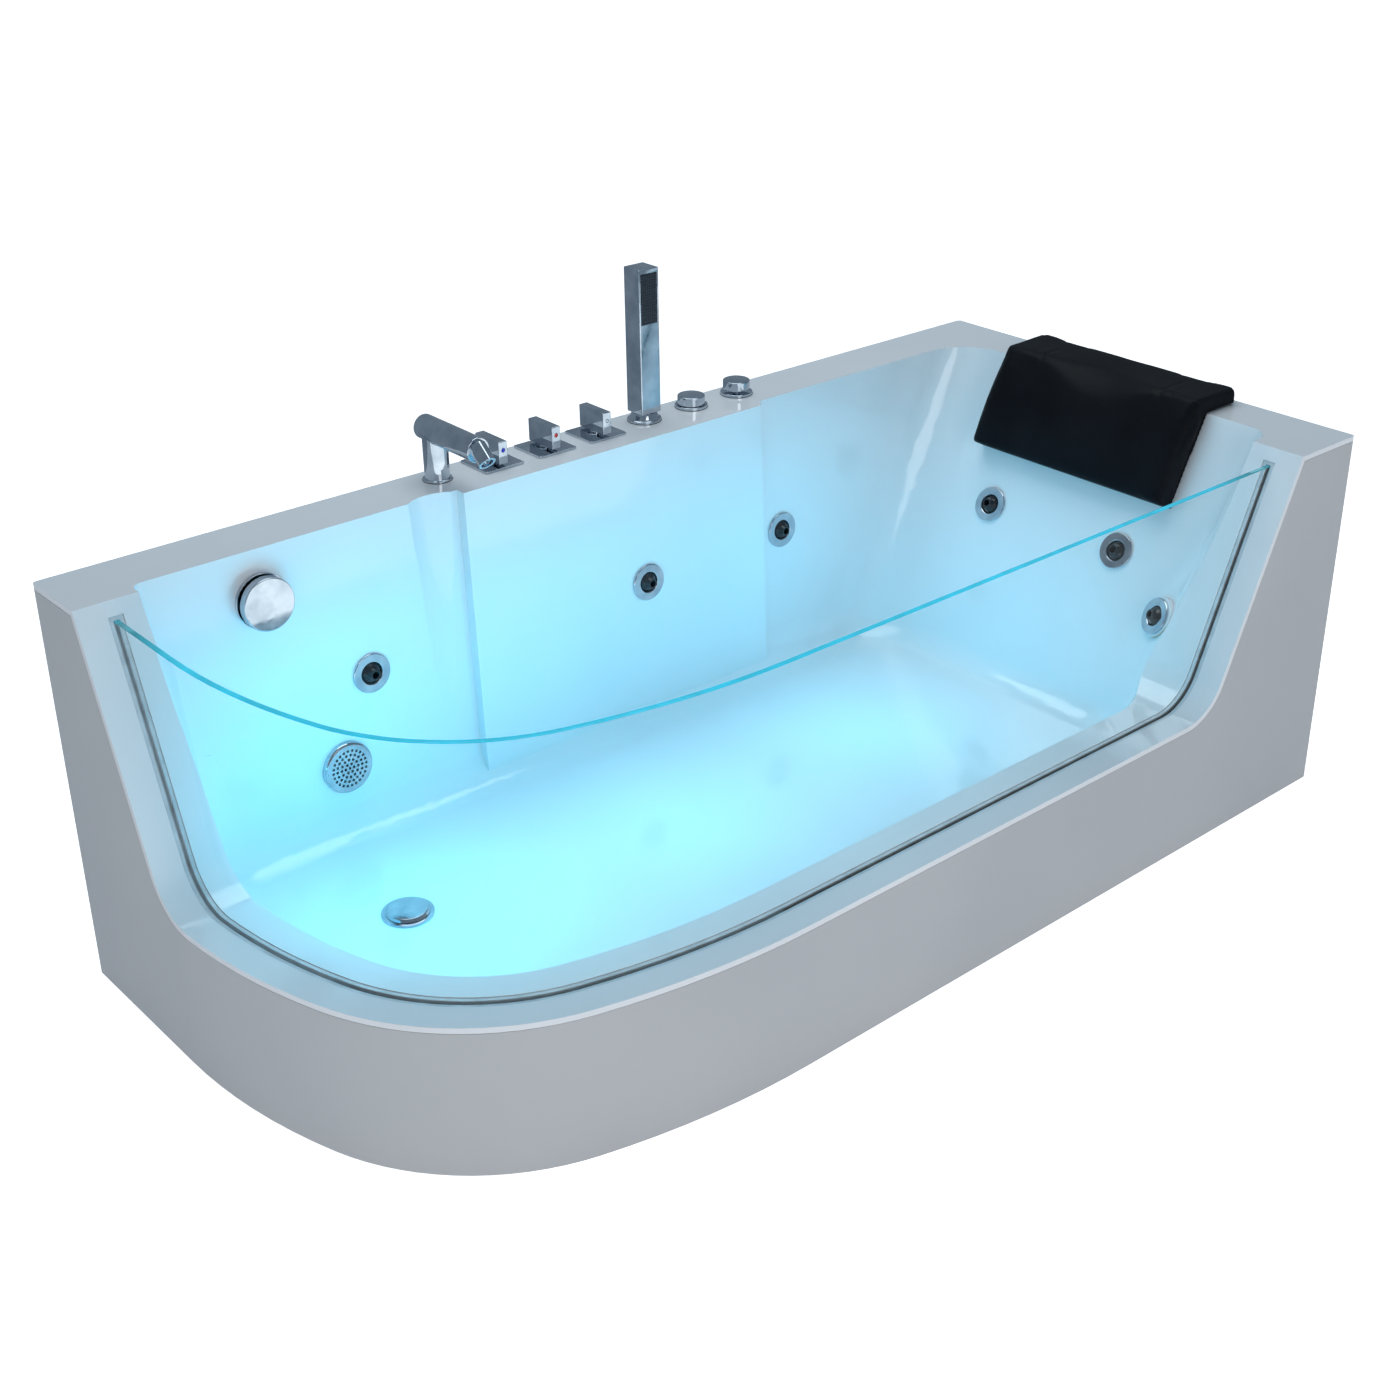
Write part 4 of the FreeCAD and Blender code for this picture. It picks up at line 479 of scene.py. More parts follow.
def turned(name, profile, foot, axis, sides=40, ring=False):
    """Body turned about an axis from (radius, height) pairs; a ring's profile closes on itself."""
    axis = Vector(axis).normalized()
    across = axis.orthogonal().normalized()
    third = axis.cross(across)
    shape = bmesh.new()
    loops = []
    for radius, height in profile:
        loop = []
        for k in range(sides):
            angle = 2 * math.pi * k / sides
            reach = across * math.cos(angle) + third * math.sin(angle)
            loop.append(shape.verts.new(Vector(foot) + axis * height + reach * radius))
        loops.append(loop)
    pairs = list(zip(loops, loops[1:]))
    if ring:
        pairs.append((loops[-1], loops[0]))
    else:
        shape.faces.new(loops[0])
        shape.faces.new(loops[-1])
    for low_loop, high_loop in pairs:
        for k in range(sides):
            m = (k + 1) % sides
            shape.faces.new((low_loop[k], low_loop[m], high_loop[m], high_loop[k]))
    bmesh.ops.recalc_face_normals(shape, faces=shape.faces)
    mesh = bpy.data.meshes.new(name)
    shape.to_mesh(mesh)
    shape.free()
    mesh.shade_smooth()
    mesh.set_sharp_from_angle(angle=math.radians(50))
    return mesh


for lever, hole, colour in (("cold_lever", 0.0, cold_blue),
                            ("hot_lever", 0.0, hot_red),
                            ("diverter_lever", ring_hole, ring_dark)):
    low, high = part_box(lever)
    foot = ((low.x + high.x) / 2, low.y + dot_height, high.z - mark_drop)
    crown = [(dot_radius, 0.0), (dot_radius, dot_height - dot_crown),
             (dot_radius * dot_flat, dot_height)]
    if hole:
        crown += [(hole * (2 - dot_flat), dot_height), (hole, dot_height - dot_crown), (hole, 0.0)]
    name = lever + "_mark"
    mark = as_piece(name, turned(name, crown, foot, (0, -1, 0), ring=bool(hole)), lever,
                    enamel(lever + "_enamel", colour))


# --- spray face --------------------------------------------------------------
# Dark plastic plate set in the hand shower's front, with rows of soft rubber nozzles that are
# pushed through it.
nub_columns = 7
nub_rows = 17
nub_pitch = 0.0042
nub_radius = 0.0011
nub_tip = 0.0006
nub_height = 0.0008
spray_ease = 0.0004
plate_colour = (0.012, 0.014, 0.02, 1.0)
nub_colour = (0.05, 0.055, 0.07, 1.0)


class Pattern:
    """A geometry node tree that repeats a small form by named sizes."""

    def __init__(self, name, sizes):
        self.tree = bpy.data.node_groups.new(name, "GeometryNodeTree")
        self.sizes = {}
        for label, value in sizes.items():
            kind = "NodeSocketInt" if isinstance(value, int) else "NodeSocketFloat"
            socket = self.tree.interface.new_socket(label, in_out="INPUT", socket_type=kind)
            socket.default_value = value
            self.sizes[label] = socket.identifier
        self.tree.interface.new_socket("Geometry", in_out="OUTPUT",
                                       socket_type="NodeSocketGeometry")
        self.given = self.tree.nodes.new("NodeGroupInput")

    def size(self, label):
        return self.given.outputs[label]

    def node(self, kind, settings=None, sockets=None, output=0):
        """Adds a node: its settings first, then its values and links."""
        made = self.tree.nodes.new(kind)
        for name, value in (settings or {}).items():
            setattr(made, name, value)
        for key, value in (sockets or {}).items():
            if isinstance(value, bpy.types.NodeSocket):
                self.tree.links.new(value, made.inputs[key])
            else:
                made.inputs[key].default_value = value
        return made.outputs[output]

    def close(self, geometry, finish):
        """Ends the tree: every copy made real, its faces flat, and in its material."""
        real = self.node("GeometryNodeRealizeInstances", None, {0: geometry})
        flat = self.node("GeometryNodeSetShadeSmooth", None, {0: real, "Shade Smooth": False})
        coated = self.node("GeometryNodeSetMaterial", None, {0: flat, "Material": finish.material})
        end = self.tree.nodes.new("NodeGroupOutput")
        self.tree.links.new(coated, end.inputs[0])

    def mesh(self, name, place, **sizes):
        """Runs the tree with these sizes and returns a plain mesh put in its place."""
        carrier = bpy.data.objects.new(name, bpy.data.meshes.new(name + "_seed"))
        bpy.context.scene.collection.objects.link(carrier)
        run = carrier.modifiers.new("pattern", "NODES")
        run.node_group = self.tree
        for label, value in sizes.items():
            run[self.sizes[label]] = value
        made = bpy.data.meshes.new_from_object(
            carrier.evaluated_get(bpy.context.evaluated_depsgraph_get()))
        bpy.data.objects.remove(carrier)
        made.transform(place)
        made.name = name
        return made

    def copies(self, name, places, **sizes):
        """Plain mesh of the pattern put in several places."""
        single = self.mesh(name + "_single", Matrix.Identity(4), **sizes)
        shape = bmesh.new()
        for place in places:
            moved = single.copy()
            moved.transform(place)
            shape.from_mesh(moved)
            bpy.data.meshes.remove(moved)
        made = bpy.data.meshes.new(name)
        shape.to_mesh(made)
        shape.free()
        return made


spray_plate = Finish("spray_plate", plate_colour, 0.35)
dust = spray_plate.noise(700.0, detail=4.0)
spray_plate.scuff(dust, smooth=0.25, rough=0.5)
spray_plate.bump(dust, depth=0.00005)
nub_rubber = Finish("nozzle_rubber", nub_colour, 0.55)
nub_rubber.scuff(nub_rubber.noise(1500.0), smooth=0.4, rough=0.7)
eased("spray_face", "hand_shower", spray_ease, spray_plate)

nubs = Pattern("spray_nubs", {"columns": nub_columns, "rows": nub_rows, "pitch": nub_pitch,
                              "radius": nub_radius, "height": nub_height})
wide, tall = [nubs.node("ShaderNodeMath", {"operation": "MULTIPLY_ADD"},
                        {0: nubs.size(count), 1: nubs.size("pitch"), 2: -nub_pitch})
              for count in ("columns", "rows")]
field = nubs.node("GeometryNodeMeshGrid", None,
                  {"Size X": wide, "Size Y": tall, "Vertices X": nubs.size("columns"),
                   "Vertices Y": nubs.size("rows")})
nub = nubs.node("GeometryNodeMeshCone", None,
                {"Vertices": 10, "Side Segments": 1, "Radius Top": nub_tip,
                 "Radius Bottom": nubs.size("radius"), "Depth": nubs.size("height")})
sown = nubs.node("GeometryNodeInstanceOnPoints", None, {"Points": field, "Instance": nub})
nubs.close(sown, nub_rubber)

low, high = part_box("spray_face")
face_up = Matrix.Rotation(math.radians(90), 4, "X")
face_at = Matrix.Translation(((low.x + high.x) / 2, low.y, (low.z + high.z) / 2))
spray_nubs = as_piece("spray_nubs", nubs.mesh("spray_nubs", face_at @ face_up), "hand_shower",
                      nub_rubber)


# --- headrest ----------------------------------------------------------------
# Moulded foam under a tight black skin, with a hollow for the neck. It hangs over the deck on two
# pins, and its foam fills the skin out on the sides that rest on nothing.
foam_grain = 0.004
foam_inset = 0.001
foam_pressure = 2.5
foam_steps = 20
foam_give = 0.0014
free_gain = 2.0                 # how fast the pad comes free as it turns away from its seat
free_base = 0.9
front_share = 0.8
pad_rear = 0.04
low_end = 0.5                   # rows under this share of the crown's height are its round ends
skin_black = (0.0030, 0.0034, 0.0052, 1.0)
skin_worn = (0.0060, 0.0066, 0.0096, 1.0)

skin = Finish("black_skin", skin_black, 0.5, Specular_IOR_Level=0.10)
hide = skin.noise(900.0, detail=2.0)
wear = skin.noise(7.0, detail=5.0)
skin.tint(wear, skin_black, skin_worn, low=0.45, high=0.75)
skin.scuff(wear, smooth=0.42, rough=0.6)
skin.bump(hide + skin.noise(260.0) * 0.6, depth=0.00025, strength=0.5)

foam = bench_copy("headrest")
bmesh.ops.triangulate(foam, faces=foam.faces)
pillow_mesh = bpy.data.meshes.new("headrest_cushion")
foam.to_mesh(pillow_mesh)
foam.free()
pillow = bpy.data.objects.new("headrest_cushion", pillow_mesh)
bpy.context.scene.collection.objects.link(pillow)
bpy.context.view_layer.objects.active = pillow
voxels = pillow.modifiers.new("voxels", "REMESH")
voxels.mode = "VOXEL"
voxels.voxel_size = foam_grain
voxels.use_smooth_shade = True
shrink = pillow.modifiers.new("shrink", "DISPLACE")
shrink.strength = -foam_inset
shrink.mid_level = 0.0


def settled(obj, levels=0):
    """The object's mesh as its modifiers leave it, with the modifiers gone."""
    if levels:
        finer = obj.modifiers.new("finer", "SUBSURF")
        finer.levels = levels
        finer.render_levels = levels
    made = bpy.data.meshes.new_from_object(
        obj.evaluated_get(bpy.context.evaluated_depsgraph_get()))
    obj.modifiers.clear()
    obj.data = made


settled(pillow)

# Every row of the pad over the deck is drawn up or down to the height of the middle one.
deck_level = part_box("tub_shell")[1].z
rear_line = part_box("headrest")[1].x - pad_rear
crowns = {}
for vertex in pillow.data.vertices:
    if vertex.co.x > rear_line:
        row = round(vertex.co.y / foam_grain)
        crowns[row] = max(crowns.get(row, deck_level), vertex.co.z)
crown_height = sorted(crowns.values())[len(crowns) // 2] - deck_level
for vertex in pillow.data.vertices:
    height = crowns.get(round(vertex.co.y / foam_grain), deck_level) - deck_level
    if vertex.co.z > deck_level and height > low_end * crown_height:
        vertex.co.z = deck_level + (vertex.co.z - deck_level) * crown_height / height

# The foam fills out where the pad faces up or towards the bather, and no further than its give.
start = [v.co.copy() for v in pillow.data.vertices]
outward = [v.normal.copy() for v in pillow.data.vertices]
cloth = pillow.modifiers.new("foam", "CLOTH")
cloth.settings.use_pressure = True
cloth.settings.uniform_pressure_force = foam_pressure
cloth.settings.effector_weights.gravity = 0.0
cloth.settings.quality = 5
cloth.point_cache.frame_start = 1
cloth.point_cache.frame_end = foam_steps
for step in range(1, foam_steps + 1):
    bpy.context.scene.frame_set(step)
settled(pillow)
bpy.context.scene.frame_set(1)
for vertex, place, normal in zip(pillow.data.vertices, start, outward):
    free = free_gain * (normal.z - front_share * normal.x) + free_base
    moved = vertex.co - place
    if moved.length > foam_give:
        moved *= foam_give / moved.length
    vertex.co = place + moved * max(0.0, min(1.0, free))
settled(pillow, levels=1)
pillow.data.materials.clear()
pillow.data.materials.append(skin.material)
pillow.data.shade_smooth()
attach(pillow, "tub")
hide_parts("headrest")


# --- lamp --------------------------------------------------------------------
# Small underwater lamp in the left end wall: a chrome bezel and a frosted lens over blue-green
# diodes, which tint the whole basin.
lens_ease = 0.0006
lens_colour = (0.35, 0.9, 1.0, 1.0)
lens_glow = (0.10, 0.80, 1.0, 1.0)
lens_deep = (0.03, 0.6, 0.95, 1.0)

lamp_lens = Finish("frosted_lens", lens_colour, 0.3, Emission_Color=lens_glow,
                   Emission_Strength=9.0)
flute = lamp_lens.noise(300.0, detail=2.0)
lamp_lens.set("Emission Color",
              lamp_lens.mix(lamp_lens.spread(flute, 0.3, 0.7), lens_glow, lens_deep))
lamp_lens.bump(flute, depth=0.0003)
eased("lamp_lens", "tub", lens_ease, lamp_lens)


# --- deck gaskets ------------------------------------------------------------
# Black rubber rings that seal the holes under the spout, the knobs and the shower collar. A hair
# of each is squeezed out and shows as a dark line on the deck.
gasket_rise = 0.0007
gasket_squeeze = 0.0006
gasket_width = 0.004
gasket_round = 0.0002
gasket_black = (0.008, 0.009, 0.010, 1.0)

gasket_rubber = Finish("gasket_rubber", gasket_black, 0.6)
gasket_rubber.scuff(gasket_rubber.noise(800.0), smooth=0.45, rough=0.75)


def squeezed(name, outer, foot, axis):
    """Gasket ring whose rounded edge stands out from under a fitting."""
    inner = outer - gasket_width
    edge = outer + gasket_squeeze
    profile = [(inner, 0.0), (edge - gasket_round, 0.0), (edge, gasket_rise / 2),
               (edge - gasket_round, gasket_rise), (inner, gasket_rise)]
    gasket = as_piece(name, turned(name, profile, foot, axis, sides=56, ring=True), "tub",
                      gasket_rubber)


deck_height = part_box("lever_plates")[0].z
low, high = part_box("air_button_body")
tap_line = (low.y + high.y) / 2
for node in ("spout_column", "air_regulator_body", "air_button_body", "shower_collar"):
    low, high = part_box(node)
    squeezed(node + "_gasket", (high.x - low.x) / 2,
             ((low.x + high.x) / 2, tap_line, deck_height), (0, 0, 1))


# --- steel frame -------------------------------------------------------------
# Square tubes, welded where they cross and dipped in grey paint, which is scuffed where the
# frame was handled. Posts carry the deck, and angle plates hold the apron.
rail_edge = 0.0015
post_edge = 0.001
frame_grey = (0.26, 0.275, 0.295, 1.0)
frame_scuff = (0.40, 0.41, 0.42, 1.0)

frame_paint = Finish("grey_frame_paint", frame_grey, 0.45)
scuffs = frame_paint.noise(7.0, detail=6.0, roughness=0.65)
frame_paint.tint(scuffs, frame_grey, frame_scuff, low=0.55, high=0.72)
frame_paint.scuff(scuffs, smooth=0.36, rough=0.6, low=0.4)
frame_paint.bump(frame_paint.noise(220.0), depth=0.00015)
eased("frame_rails", "tub", rail_edge, frame_paint)
eased("frame_uprights", "tub", post_edge, frame_paint)


# --- levelling feet ----------------------------------------------------------
# Pressed pads on threaded studs, all zinc plated. A nut locks each stud against its rail.
foot_edge = 0.0006
floor_gap = 0.001               # what reaches lower than this stands on the floor
stud_radius = 0.006
stud_start = 0.0105
thread_turns = 24
thread_pitch = 0.00175
thread_crest = 0.0006
zinc_bright = (0.62, 0.63, 0.62, 1.0)
zinc_dull = (0.42, 0.44, 0.45, 1.0)

zinc = Finish("zinc_plate", zinc_bright, 0.35, metallic=0.9)
spangle = zinc.noise(160.0)
zinc.tint(spangle, zinc_bright, zinc_dull)
zinc.scuff(spangle, smooth=0.25, rough=0.5)
eased("levelling_feet", "tub", foot_edge, zinc)

thread = Pattern("stud_thread", {"turns": thread_turns, "pitch": thread_pitch,
                                 "radius": stud_radius, "crest": thread_crest})
rise = thread.node("ShaderNodeMath", {"operation": "MULTIPLY"},
                   {0: thread.size("turns"), 1: thread.size("pitch")})
helix = thread.node("GeometryNodeCurveSpiral", None,
                    {"Resolution": 18, "Rotations": thread.size("turns"),
                     "Start Radius": thread.size("radius"), "End Radius": thread.size("radius"),
                     "Height": rise})
crest = thread.node("GeometryNodeCurvePrimitiveCircle", None,
                    {"Resolution": 4, "Radius": thread.size("crest")})
ridge = thread.node("GeometryNodeCurveToMesh", None,
                    {"Curve": helix, "Profile Curve": crest, "Fill Caps": True})
thread.close(ridge, zinc)


def middles(node, keep):
    """Middle of each loose solid of a CAD node that passes a test on its corners."""
    shape = bench_copy(node)
    left_over = set(shape.verts)
    found = []
    while left_over:
        reached = [left_over.pop()]
        for vertex in reached:
            for edge in vertex.link_edges:
                other = edge.other_vert(vertex)
                if other in left_over:
                    left_over.remove(other)
                    reached.append(other)
        low = Vector([min(v.co[i] for v in reached) for i in range(3)])
        high = Vector([max(v.co[i] for v in reached) for i in range(3)])
        if keep(low, high):
            found.append((low + high) / 2)
    shape.free()
    return sorted(found, key=lambda place: (round(place.x, 4), round(place.y, 4)))


studs = middles("levelling_feet", lambda low, high: low.z < floor_gap)
stud_places = [Matrix.Translation((stud.x, stud.y, stud_start)) for stud in studs]
screwed = thread.copies("stud_threads", stud_places)
as_piece("stud_threads", screwed, "tub", zinc)


# --- valves and mixing pipes -------------------------------------------------
# Cast and turned brass, left as it comes from the lathe, with short pipes from valve to valve.
# Brass nuts clamp the other fittings under the deck. The necks' tops show and are plated.
brass_edge = 0.0006
plated_collar = 0.0015          # the necks' tops, which show in the lever plates
brass_light = (0.72, 0.52, 0.22, 1.0)
brass_dark = (0.46, 0.30, 0.11, 1.0)

brass = Finish("turned_brass", brass_light, 0.3, metallic=1.0)
tarnish = brass.noise(24.0, detail=5.0)
brass.tint(tarnish, brass_light, brass_dark, low=0.42, high=0.7)
brass.scuff(tarnish, smooth=0.2, rough=0.42)
brass.bump(brass.noise(240.0, place=brass.stretched(1.0, 1.0, 8.0)), depth=0.0001, strength=0.6)
valves = eased("valve_bodies", "tub", brass_edge, brass)
plated_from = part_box("valve_bodies")[1].z - plated_collar
second_finish(valves, chrome, lambda face: face.center.z > plated_from)
eased("deck_nuts", "tub", brass_edge, brass)
eased("mixer_pipes", "tub", brass_edge, brass)


# --- waste and overflow ------------------------------------------------------
# Grey-white plastic, moulded in two halves and cemented, with a cable in a black sheath that
# lifts the plug when the overflow knob is turned.
waste_edge = 0.001
waste_light = (0.66, 0.67, 0.66, 1.0)
waste_dark = (0.52, 0.53, 0.53, 1.0)
sheath_black = (0.012, 0.012, 0.014, 1.0)
sheath_dusty = (0.03, 0.03, 0.034, 1.0)
pin_light = (0.62, 0.63, 0.64, 1.0)
pin_dark = (0.5, 0.51, 0.52, 1.0)


def moulded(name, light, dark, smooth, rough, grain=420.0):
    """Moulded plastic: a faint cloud in its colour and a fine spark-eroded grain."""
    finish = Finish(name, light, smooth)
    drift = finish.noise(11.0, detail=4.0)
    finish.tint(drift, light, dark, high=0.68)
    finish.scuff(drift, smooth, rough)
    finish.bump(finish.noise(grain), depth=0.00012)
    return finish


def dressed(finish, *names):
    """Gives CAD nodes that keep their own mesh a finish."""
    for name in names:
        for place in nodes[name].material_slots:
            place.material = finish.material


waste_plastic = moulded("waste_plastic", waste_light, waste_dark, smooth=0.35, rough=0.5)
black_sheath = moulded("black_sheath", sheath_black, sheath_dusty, smooth=0.4, rough=0.6,
                       grain=900.0)
pin_plastic = moulded("pin_plastic", pin_light, pin_dark, smooth=0.35, rough=0.5)
eased("waste_body", "tub", waste_edge, waste_plastic)
dressed(waste_plastic, "overflow_pipe")
dressed(black_sheath, "plug_cable")
dressed(pin_plastic, "headrest_pins")


# --- jets --------------------------------------------------------------------
# White plastic bodies screwed through the shell against black washers, with a ribbed nut on each,
# and black nozzles that swivel in their chrome flanges.
jet_edge = 0.0008
nozzle_edge = 0.0004
wall_lean = 0.04
rest_lean = 0.525
corner_turn = math.radians(24)
nut_radius = 0.024
nut_back = 0.0095
washer_reach = 0.002
washer_back = 0.0033
jet_light = (0.72, 0.73, 0.73, 1.0)
jet_dark = (0.60, 0.61, 0.62, 1.0)
nozzle_light = (0.010, 0.011, 0.013, 1.0)
nozzle_dark = (0.022, 0.024, 0.028, 1.0)

jet_plastic = moulded("jet_plastic", jet_light, jet_dark, smooth=0.35, rough=0.52)
nozzle_plastic = moulded("nozzle_plastic", nozzle_light, nozzle_dark, smooth=0.12, rough=0.28,
                         grain=700.0)
eased("jet_bodies", "tub", jet_edge, jet_plastic)
for number in range(1, 7):
    nozzle = "jet_nozzle_" + str(number)
    eased(nozzle, nozzle, nozzle_edge, nozzle_plastic, crease=40.0)

ribs = Pattern("grip_ribs", {"count": 26, "radius": nut_radius, "rise": 0.0016, "width": 0.0022,
                             "length": 0.013})
circle = ribs.node("GeometryNodeMeshCircle", None,
                   {"Vertices": ribs.size("count"), "Radius": ribs.size("radius")})
outline = ribs.node("ShaderNodeCombineXYZ", None,
                    {0: ribs.size("rise"), 1: ribs.size("width"), 2: ribs.size("length")})
rib = ribs.node("GeometryNodeMeshCube", None, {"Size": outline})
outward_turn = ribs.node("FunctionNodeAlignRotationToVector", {"axis": "X"},
                         {"Vector": ribs.node("GeometryNodeInputPosition")})
stood = ribs.node("GeometryNodeInstanceOnPoints", None,
                  {"Points": circle, "Instance": rib, "Rotation": outward_turn})
ribs.close(stood, jet_plastic)


def set_along(place, axis):
    """Puts a form at a place, with its own upright along an axis."""
    return Matrix.Translation(place) @ axis.to_track_quat("Z", "Y").to_matrix().to_4x4()


corner_out = Vector((-math.cos(corner_turn), math.sin(corner_turn),
                     rest_lean * math.cos(corner_turn)))
jet_axes = [Vector((0, -1, wall_lean))] * 3 + [Vector((-1, 0, rest_lean))] * 2 + [corner_out]
pivots = {joint["name"]: Vector(joint["pos_m"])
          for joint in frame["joints"] if "pos_m" in joint}
nut_places = []
for number, axis in enumerate(jet_axes, 1):
    axis = axis.normalized()
    pivot = pivots["jet_" + str(number) + "_swivel"]
    nut_places.append(set_along(pivot - axis * nut_back, axis))
    squeezed("jet_washer_" + str(number), nut_radius + washer_reach, pivot - axis * washer_back,
             -axis)
nut_ribs = ribs.copies("jet_nut_ribs", nut_places)
as_piece("jet_nut_ribs", nut_ribs, "tub", jet_plastic)


# --- knob grip ---------------------------------------------------------------
# Fine straight ribs rolled into the chrome of the overflow knob's side, for wet fingers to hold.
grip_depth = 0.013              # the knob's side, from front to back
grip_length = 0.0095

low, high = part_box("overflow_knob")
grip_radius = (high.x - low.x) / 2
grip_axis = Vector((0, -1, wall_lean)).normalized()
knob_pivot = pivots["overflow_knob_turn"]
front = (low.y + grip_radius * wall_lean - knob_pivot.y) / grip_axis.y
grip_middle = knob_pivot + grip_axis * (front - grip_depth / 2)
grip = ribs.copies("knob_grip", [set_along(grip_middle, grip_axis)], count=96, radius=grip_radius,
                   rise=0.0009, width=0.0012, length=grip_length)
as_piece("knob_grip", grip, "overflow_knob", chrome)


# --- pipes -------------------------------------------------------------------
# Rigid white pipe for the water and thin blue-grey pipe for the air, cemented into sleeves where
# the runs are joined. The suction pipe is the widest.
pipe_back = 0.334
suction_line = (0.240, 0.021)
water_line = (0.305, 0.017)
sleeve_length = 0.044
sleeve_wall = 0.0028
sleeve_sink = 0.0002
sleeve_round = 0.0006
sleeve_waist = 0.0008
bead_inner = 0.66               # shares of the sleeve's half length, where its end beads lie
bead_outer = 0.72
pipe_light = (0.74, 0.745, 0.74, 1.0)
pipe_dark = (0.63, 0.635, 0.63, 1.0)
air_light = (0.50, 0.60, 0.66, 1.0)
air_dark = (0.40, 0.50, 0.56, 1.0)

pipe_plastic = moulded("pipe_plastic", pipe_light, pipe_dark, smooth=0.28, rough=0.42)
air_plastic = moulded("air_plastic", air_light, air_dark, smooth=0.25, rough=0.4)
dressed(pipe_plastic, "water_pipes", "suction_pipe")
dressed(air_plastic, "air_pipes")
for label, (height, radius), spots in (("suction_sleeve_", suction_line, (-0.30, 0.12, 0.52)),
                                       ("water_sleeve_", water_line, (-0.22, 0.18, 0.56))):
    outer = radius + sleeve_wall
    waist = outer - sleeve_waist
    half = sleeve_length / 2
    bead = [(radius - sleeve_sink, -half), (outer - sleeve_round, -half),
            (outer, sleeve_round - half), (outer, -half * bead_outer),
            (waist, -half * bead_inner), (waist, half * bead_inner),
            (outer, half * bead_outer), (outer, half - sleeve_round),
            (outer - sleeve_round, half), (radius - sleeve_sink, half)]
    for number, spot in enumerate(spots, 1):
        name = label + str(number)
        mesh = turned(name, bead, (spot, pipe_back, height), (1, 0, 0), sides=48, ring=True)
        as_piece(name, mesh, "tub", pipe_plastic)


# --- pump --------------------------------------------------------------------
# Black plastic casing bolted to a finned, cast and painted motor with a slotted fan cover. Both
# stand on a painted plate over rubber bushes.
pump_x = 0.690
pump_height = 0.240
casing_face = 0.205
bolt_ring = 0.0425
bush_reach = (0.030, 0.200)
bolt_radius = 0.0036
bolt_head = 0.0026
bolt_taper = 0.9
washer_radius = 0.0058
washer_taper = 0.92
washer_height = 0.0008
plate_height = 0.004
casing_edge = 0.0015
motor_edge = 0.0008
bush_edge = 0.0012
pump_black = (0.014, 0.015, 0.017, 1.0)
pump_dusty = (0.035, 0.036, 0.039, 1.0)
motor_grey = (0.22, 0.25, 0.29, 1.0)
motor_worn = (0.33, 0.35, 0.38, 1.0)
cover_dark = (0.035, 0.04, 0.05, 1.0)
cover_worn = (0.09, 0.095, 0.105, 1.0)
shaft_steel = (0.60, 0.61, 0.63, 1.0)
iron_light = (0.08, 0.075, 0.07, 1.0)
iron_rusty = (0.13, 0.11, 0.10, 1.0)
bush_black = (0.010, 0.010, 0.011, 1.0)
bush_dusty = (0.02, 0.02, 0.021, 1.0)

pump_plastic = moulded("pump_plastic", pump_black, pump_dusty, smooth=0.4, rough=0.6)
cast_motor = Finish("cast_motor", motor_grey, 0.5, metallic=0.6)
pits = cast_motor.noise(320.0, detail=4.0, roughness=0.65)
cast_motor.tint(cast_motor.noise(30.0, detail=4.0), motor_grey, motor_worn, low=0.4, high=0.7)
cast_motor.scuff(pits, smooth=0.4, rough=0.65)
cast_motor.bump(pits, depth=0.0003)
cover_paint = Finish("cover_paint", cover_dark, 0.4)
chips = cover_paint.noise(60.0, detail=6.0, roughness=0.7)
cover_paint.tint(chips, cover_dark, cover_worn, low=0.62, high=0.7)
cover_paint.scuff(chips, smooth=0.3, rough=0.55, low=0.35)
bright_shaft = Finish("bright_shaft", shaft_steel, 0.2, metallic=1.0)
lathe_lines = bright_shaft.noise(300.0, place=bright_shaft.stretched(1.0, 12.0, 1.0))
bright_shaft.scuff(lathe_lines, smooth=0.14, rough=0.34)
bright_shaft.bump(lathe_lines, depth=0.00005)
iron = moulded("stator_iron", iron_light, iron_rusty, smooth=0.5, rough=0.75)
bush_rubber = moulded("bush_rubber", bush_black, bush_dusty, smooth=0.55, rough=0.75)

eased("pump_casing", "tub", casing_edge, pump_plastic)
eased("motor_housing", "tub", motor_edge, cast_motor)
eased("fan_cover", "tub", motor_edge, cover_paint)
eased("pump_plate", "tub", motor_edge, cover_paint)
eased("pump_bushes", "tub", bush_edge, bush_rubber)
dressed(pump_plastic, "pump_impeller", "cooling_fan")
dressed(bright_shaft, "pump_shaft", "pump_bearings")
dressed(iron, "motor_stator")

bolts = Pattern("hex_bolts", {"count": 1, "ring": 0.0, "head radius": bolt_radius,
                              "head height": bolt_head, "washer radius": washer_radius})
bolt_circle = bolts.node("GeometryNodeMeshCircle", None,
                         {"Vertices": bolts.size("count"), "Radius": bolts.size("ring")})
head = bolts.node("GeometryNodeMeshCone", None,
                  {"Vertices": 6, "Radius Top": bolt_radius * bolt_taper,
                   "Radius Bottom": bolts.size("head radius"), "Depth": bolts.size("head height")})
washer = bolts.node("GeometryNodeMeshCone", None,
                    {"Vertices": 28, "Radius Top": washer_radius * washer_taper,
                     "Radius Bottom": bolts.size("washer radius"), "Depth": washer_height})
both = bolts.tree.nodes.new("GeometryNodeJoinGeometry")
bolts.tree.links.new(head, both.inputs[0])
bolts.tree.links.new(washer, both.inputs[0])
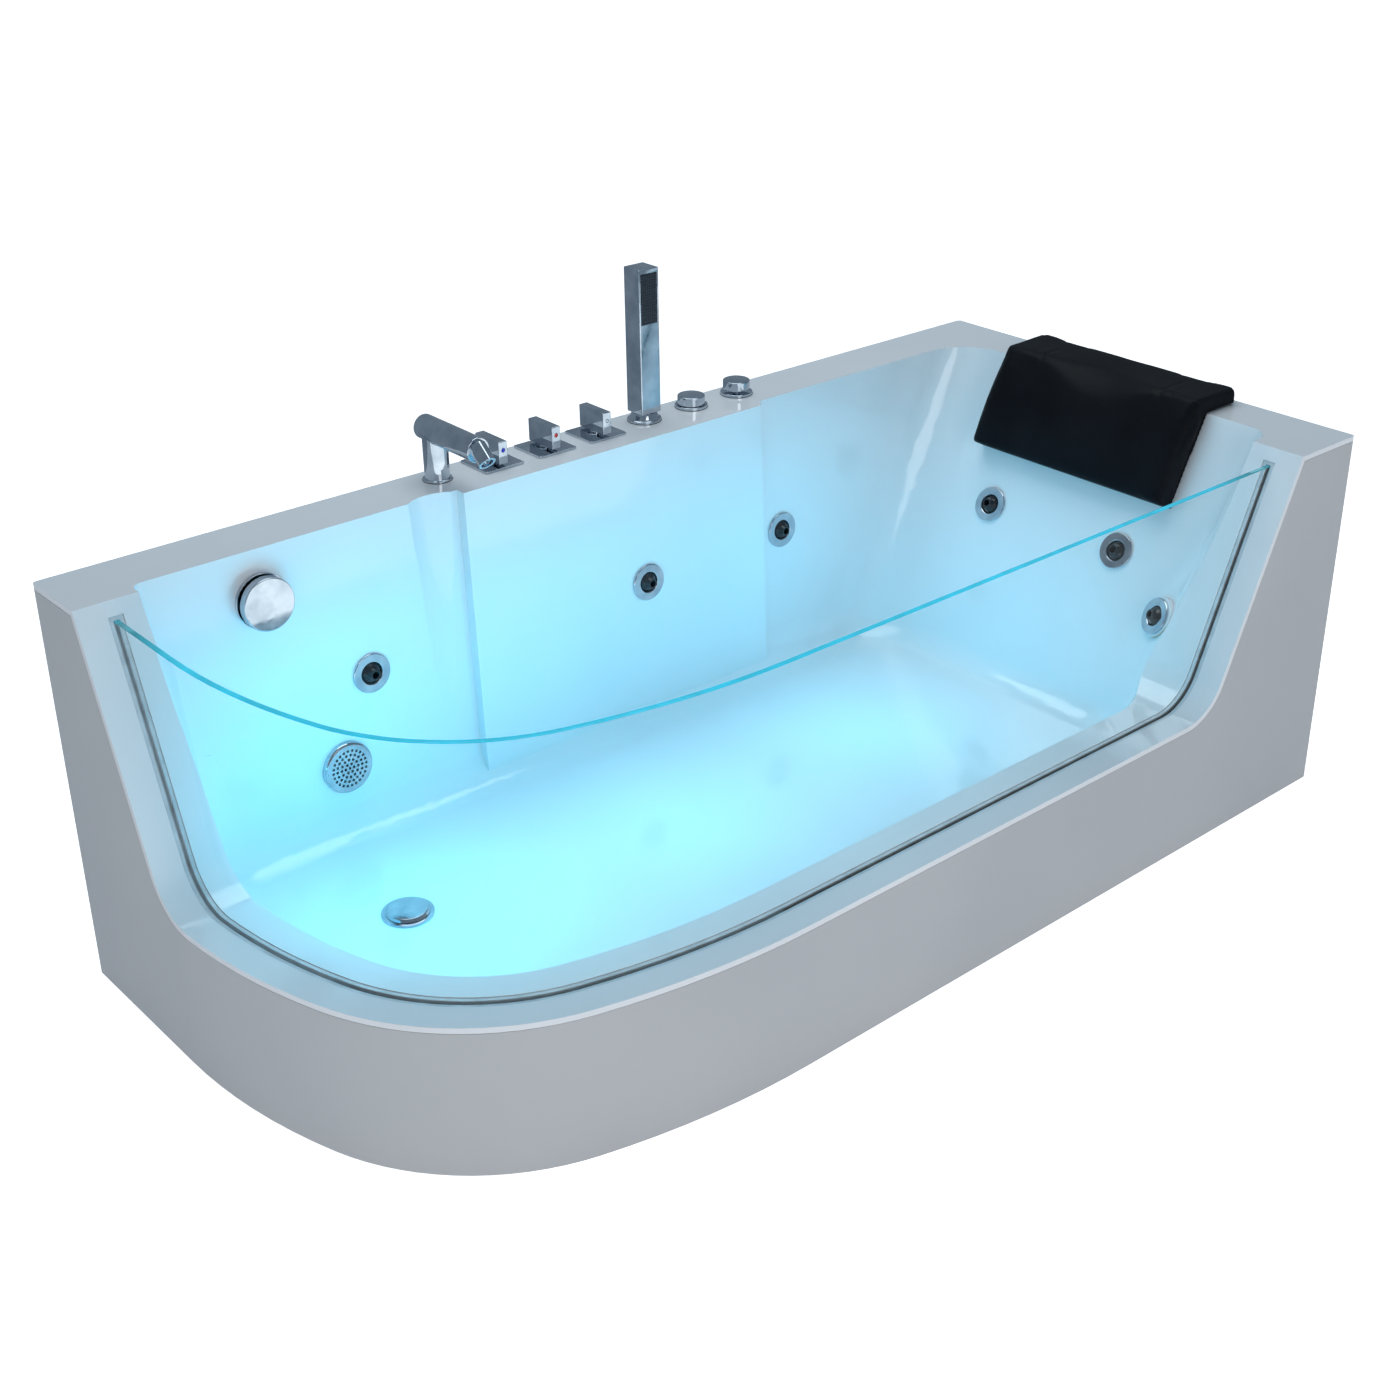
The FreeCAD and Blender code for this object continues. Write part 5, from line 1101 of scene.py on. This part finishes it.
# a ring of no radius is a single bolt
bolt_spots = bolts.node("GeometryNodeMergeByDistance", None,
                        {"Geometry": bolt_circle, "Distance": 0.0001})
placed = bolts.node("GeometryNodeInstanceOnPoints", None,
                    {"Points": bolt_spots, "Instance": both.outputs[0]})
bolts.close(placed, zinc)

face_turn = Matrix.Rotation(math.radians(-90), 4, "X")
casing_place = Matrix.Translation((pump_x, casing_face, pump_height)) @ face_turn
casing_bolts = bolts.mesh("casing_bolts", casing_place, count=6, ring=bolt_ring)
as_piece("casing_bolts", casing_bolts, "tub", zinc)
plate_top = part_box("pump_plate")[0].z + plate_height
plate_places = [Matrix.Translation((pump_x + side * bush_reach[0], end * bush_reach[1], plate_top))
                for side in (-1, 1) for end in (-1, 1)]
plate_bolts = bolts.copies("plate_bolts", plate_places, count=3, ring=0.0)
as_piece("plate_bolts", plate_bolts, "tub", zinc)


# --- control box -------------------------------------------------------------
# Grey plastic box with a screwed lid and a gland, on an upright at the front. Air pressed through
# the thin clear tube from the button on the deck works its switch.
box_edge = 0.0015
lid_edge = 0.0018
screw_inset = 0.009
box_light = (0.56, 0.57, 0.58, 1.0)
box_dark = (0.46, 0.47, 0.48, 1.0)
tube_light = (0.55, 0.66, 0.70, 1.0)
tube_dark = (0.45, 0.56, 0.60, 1.0)

box_plastic = moulded("box_plastic", box_light, box_dark, smooth=0.4, rough=0.6)
clear_tube = moulded("clear_tube", tube_light, tube_dark, smooth=0.15, rough=0.3)
eased("control_box", "tub", box_edge, box_plastic)
eased("control_lid", "tub", lid_edge, box_plastic, steps=3)
dressed(clear_tube, "pneumatic_tube")
low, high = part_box("control_lid")
lid_turn = Matrix.Rotation(math.radians(90), 4, "Y")
lid_places = [Matrix.Translation((high.x, y, z)) @ lid_turn
              for y in (low.y + screw_inset, high.y - screw_inset)
              for z in (low.z + screw_inset, high.z - screw_inset)]
lid_screws = bolts.copies("lid_screws", lid_places, count=3, ring=0.0)
as_piece("lid_screws", lid_screws, "tub", zinc)
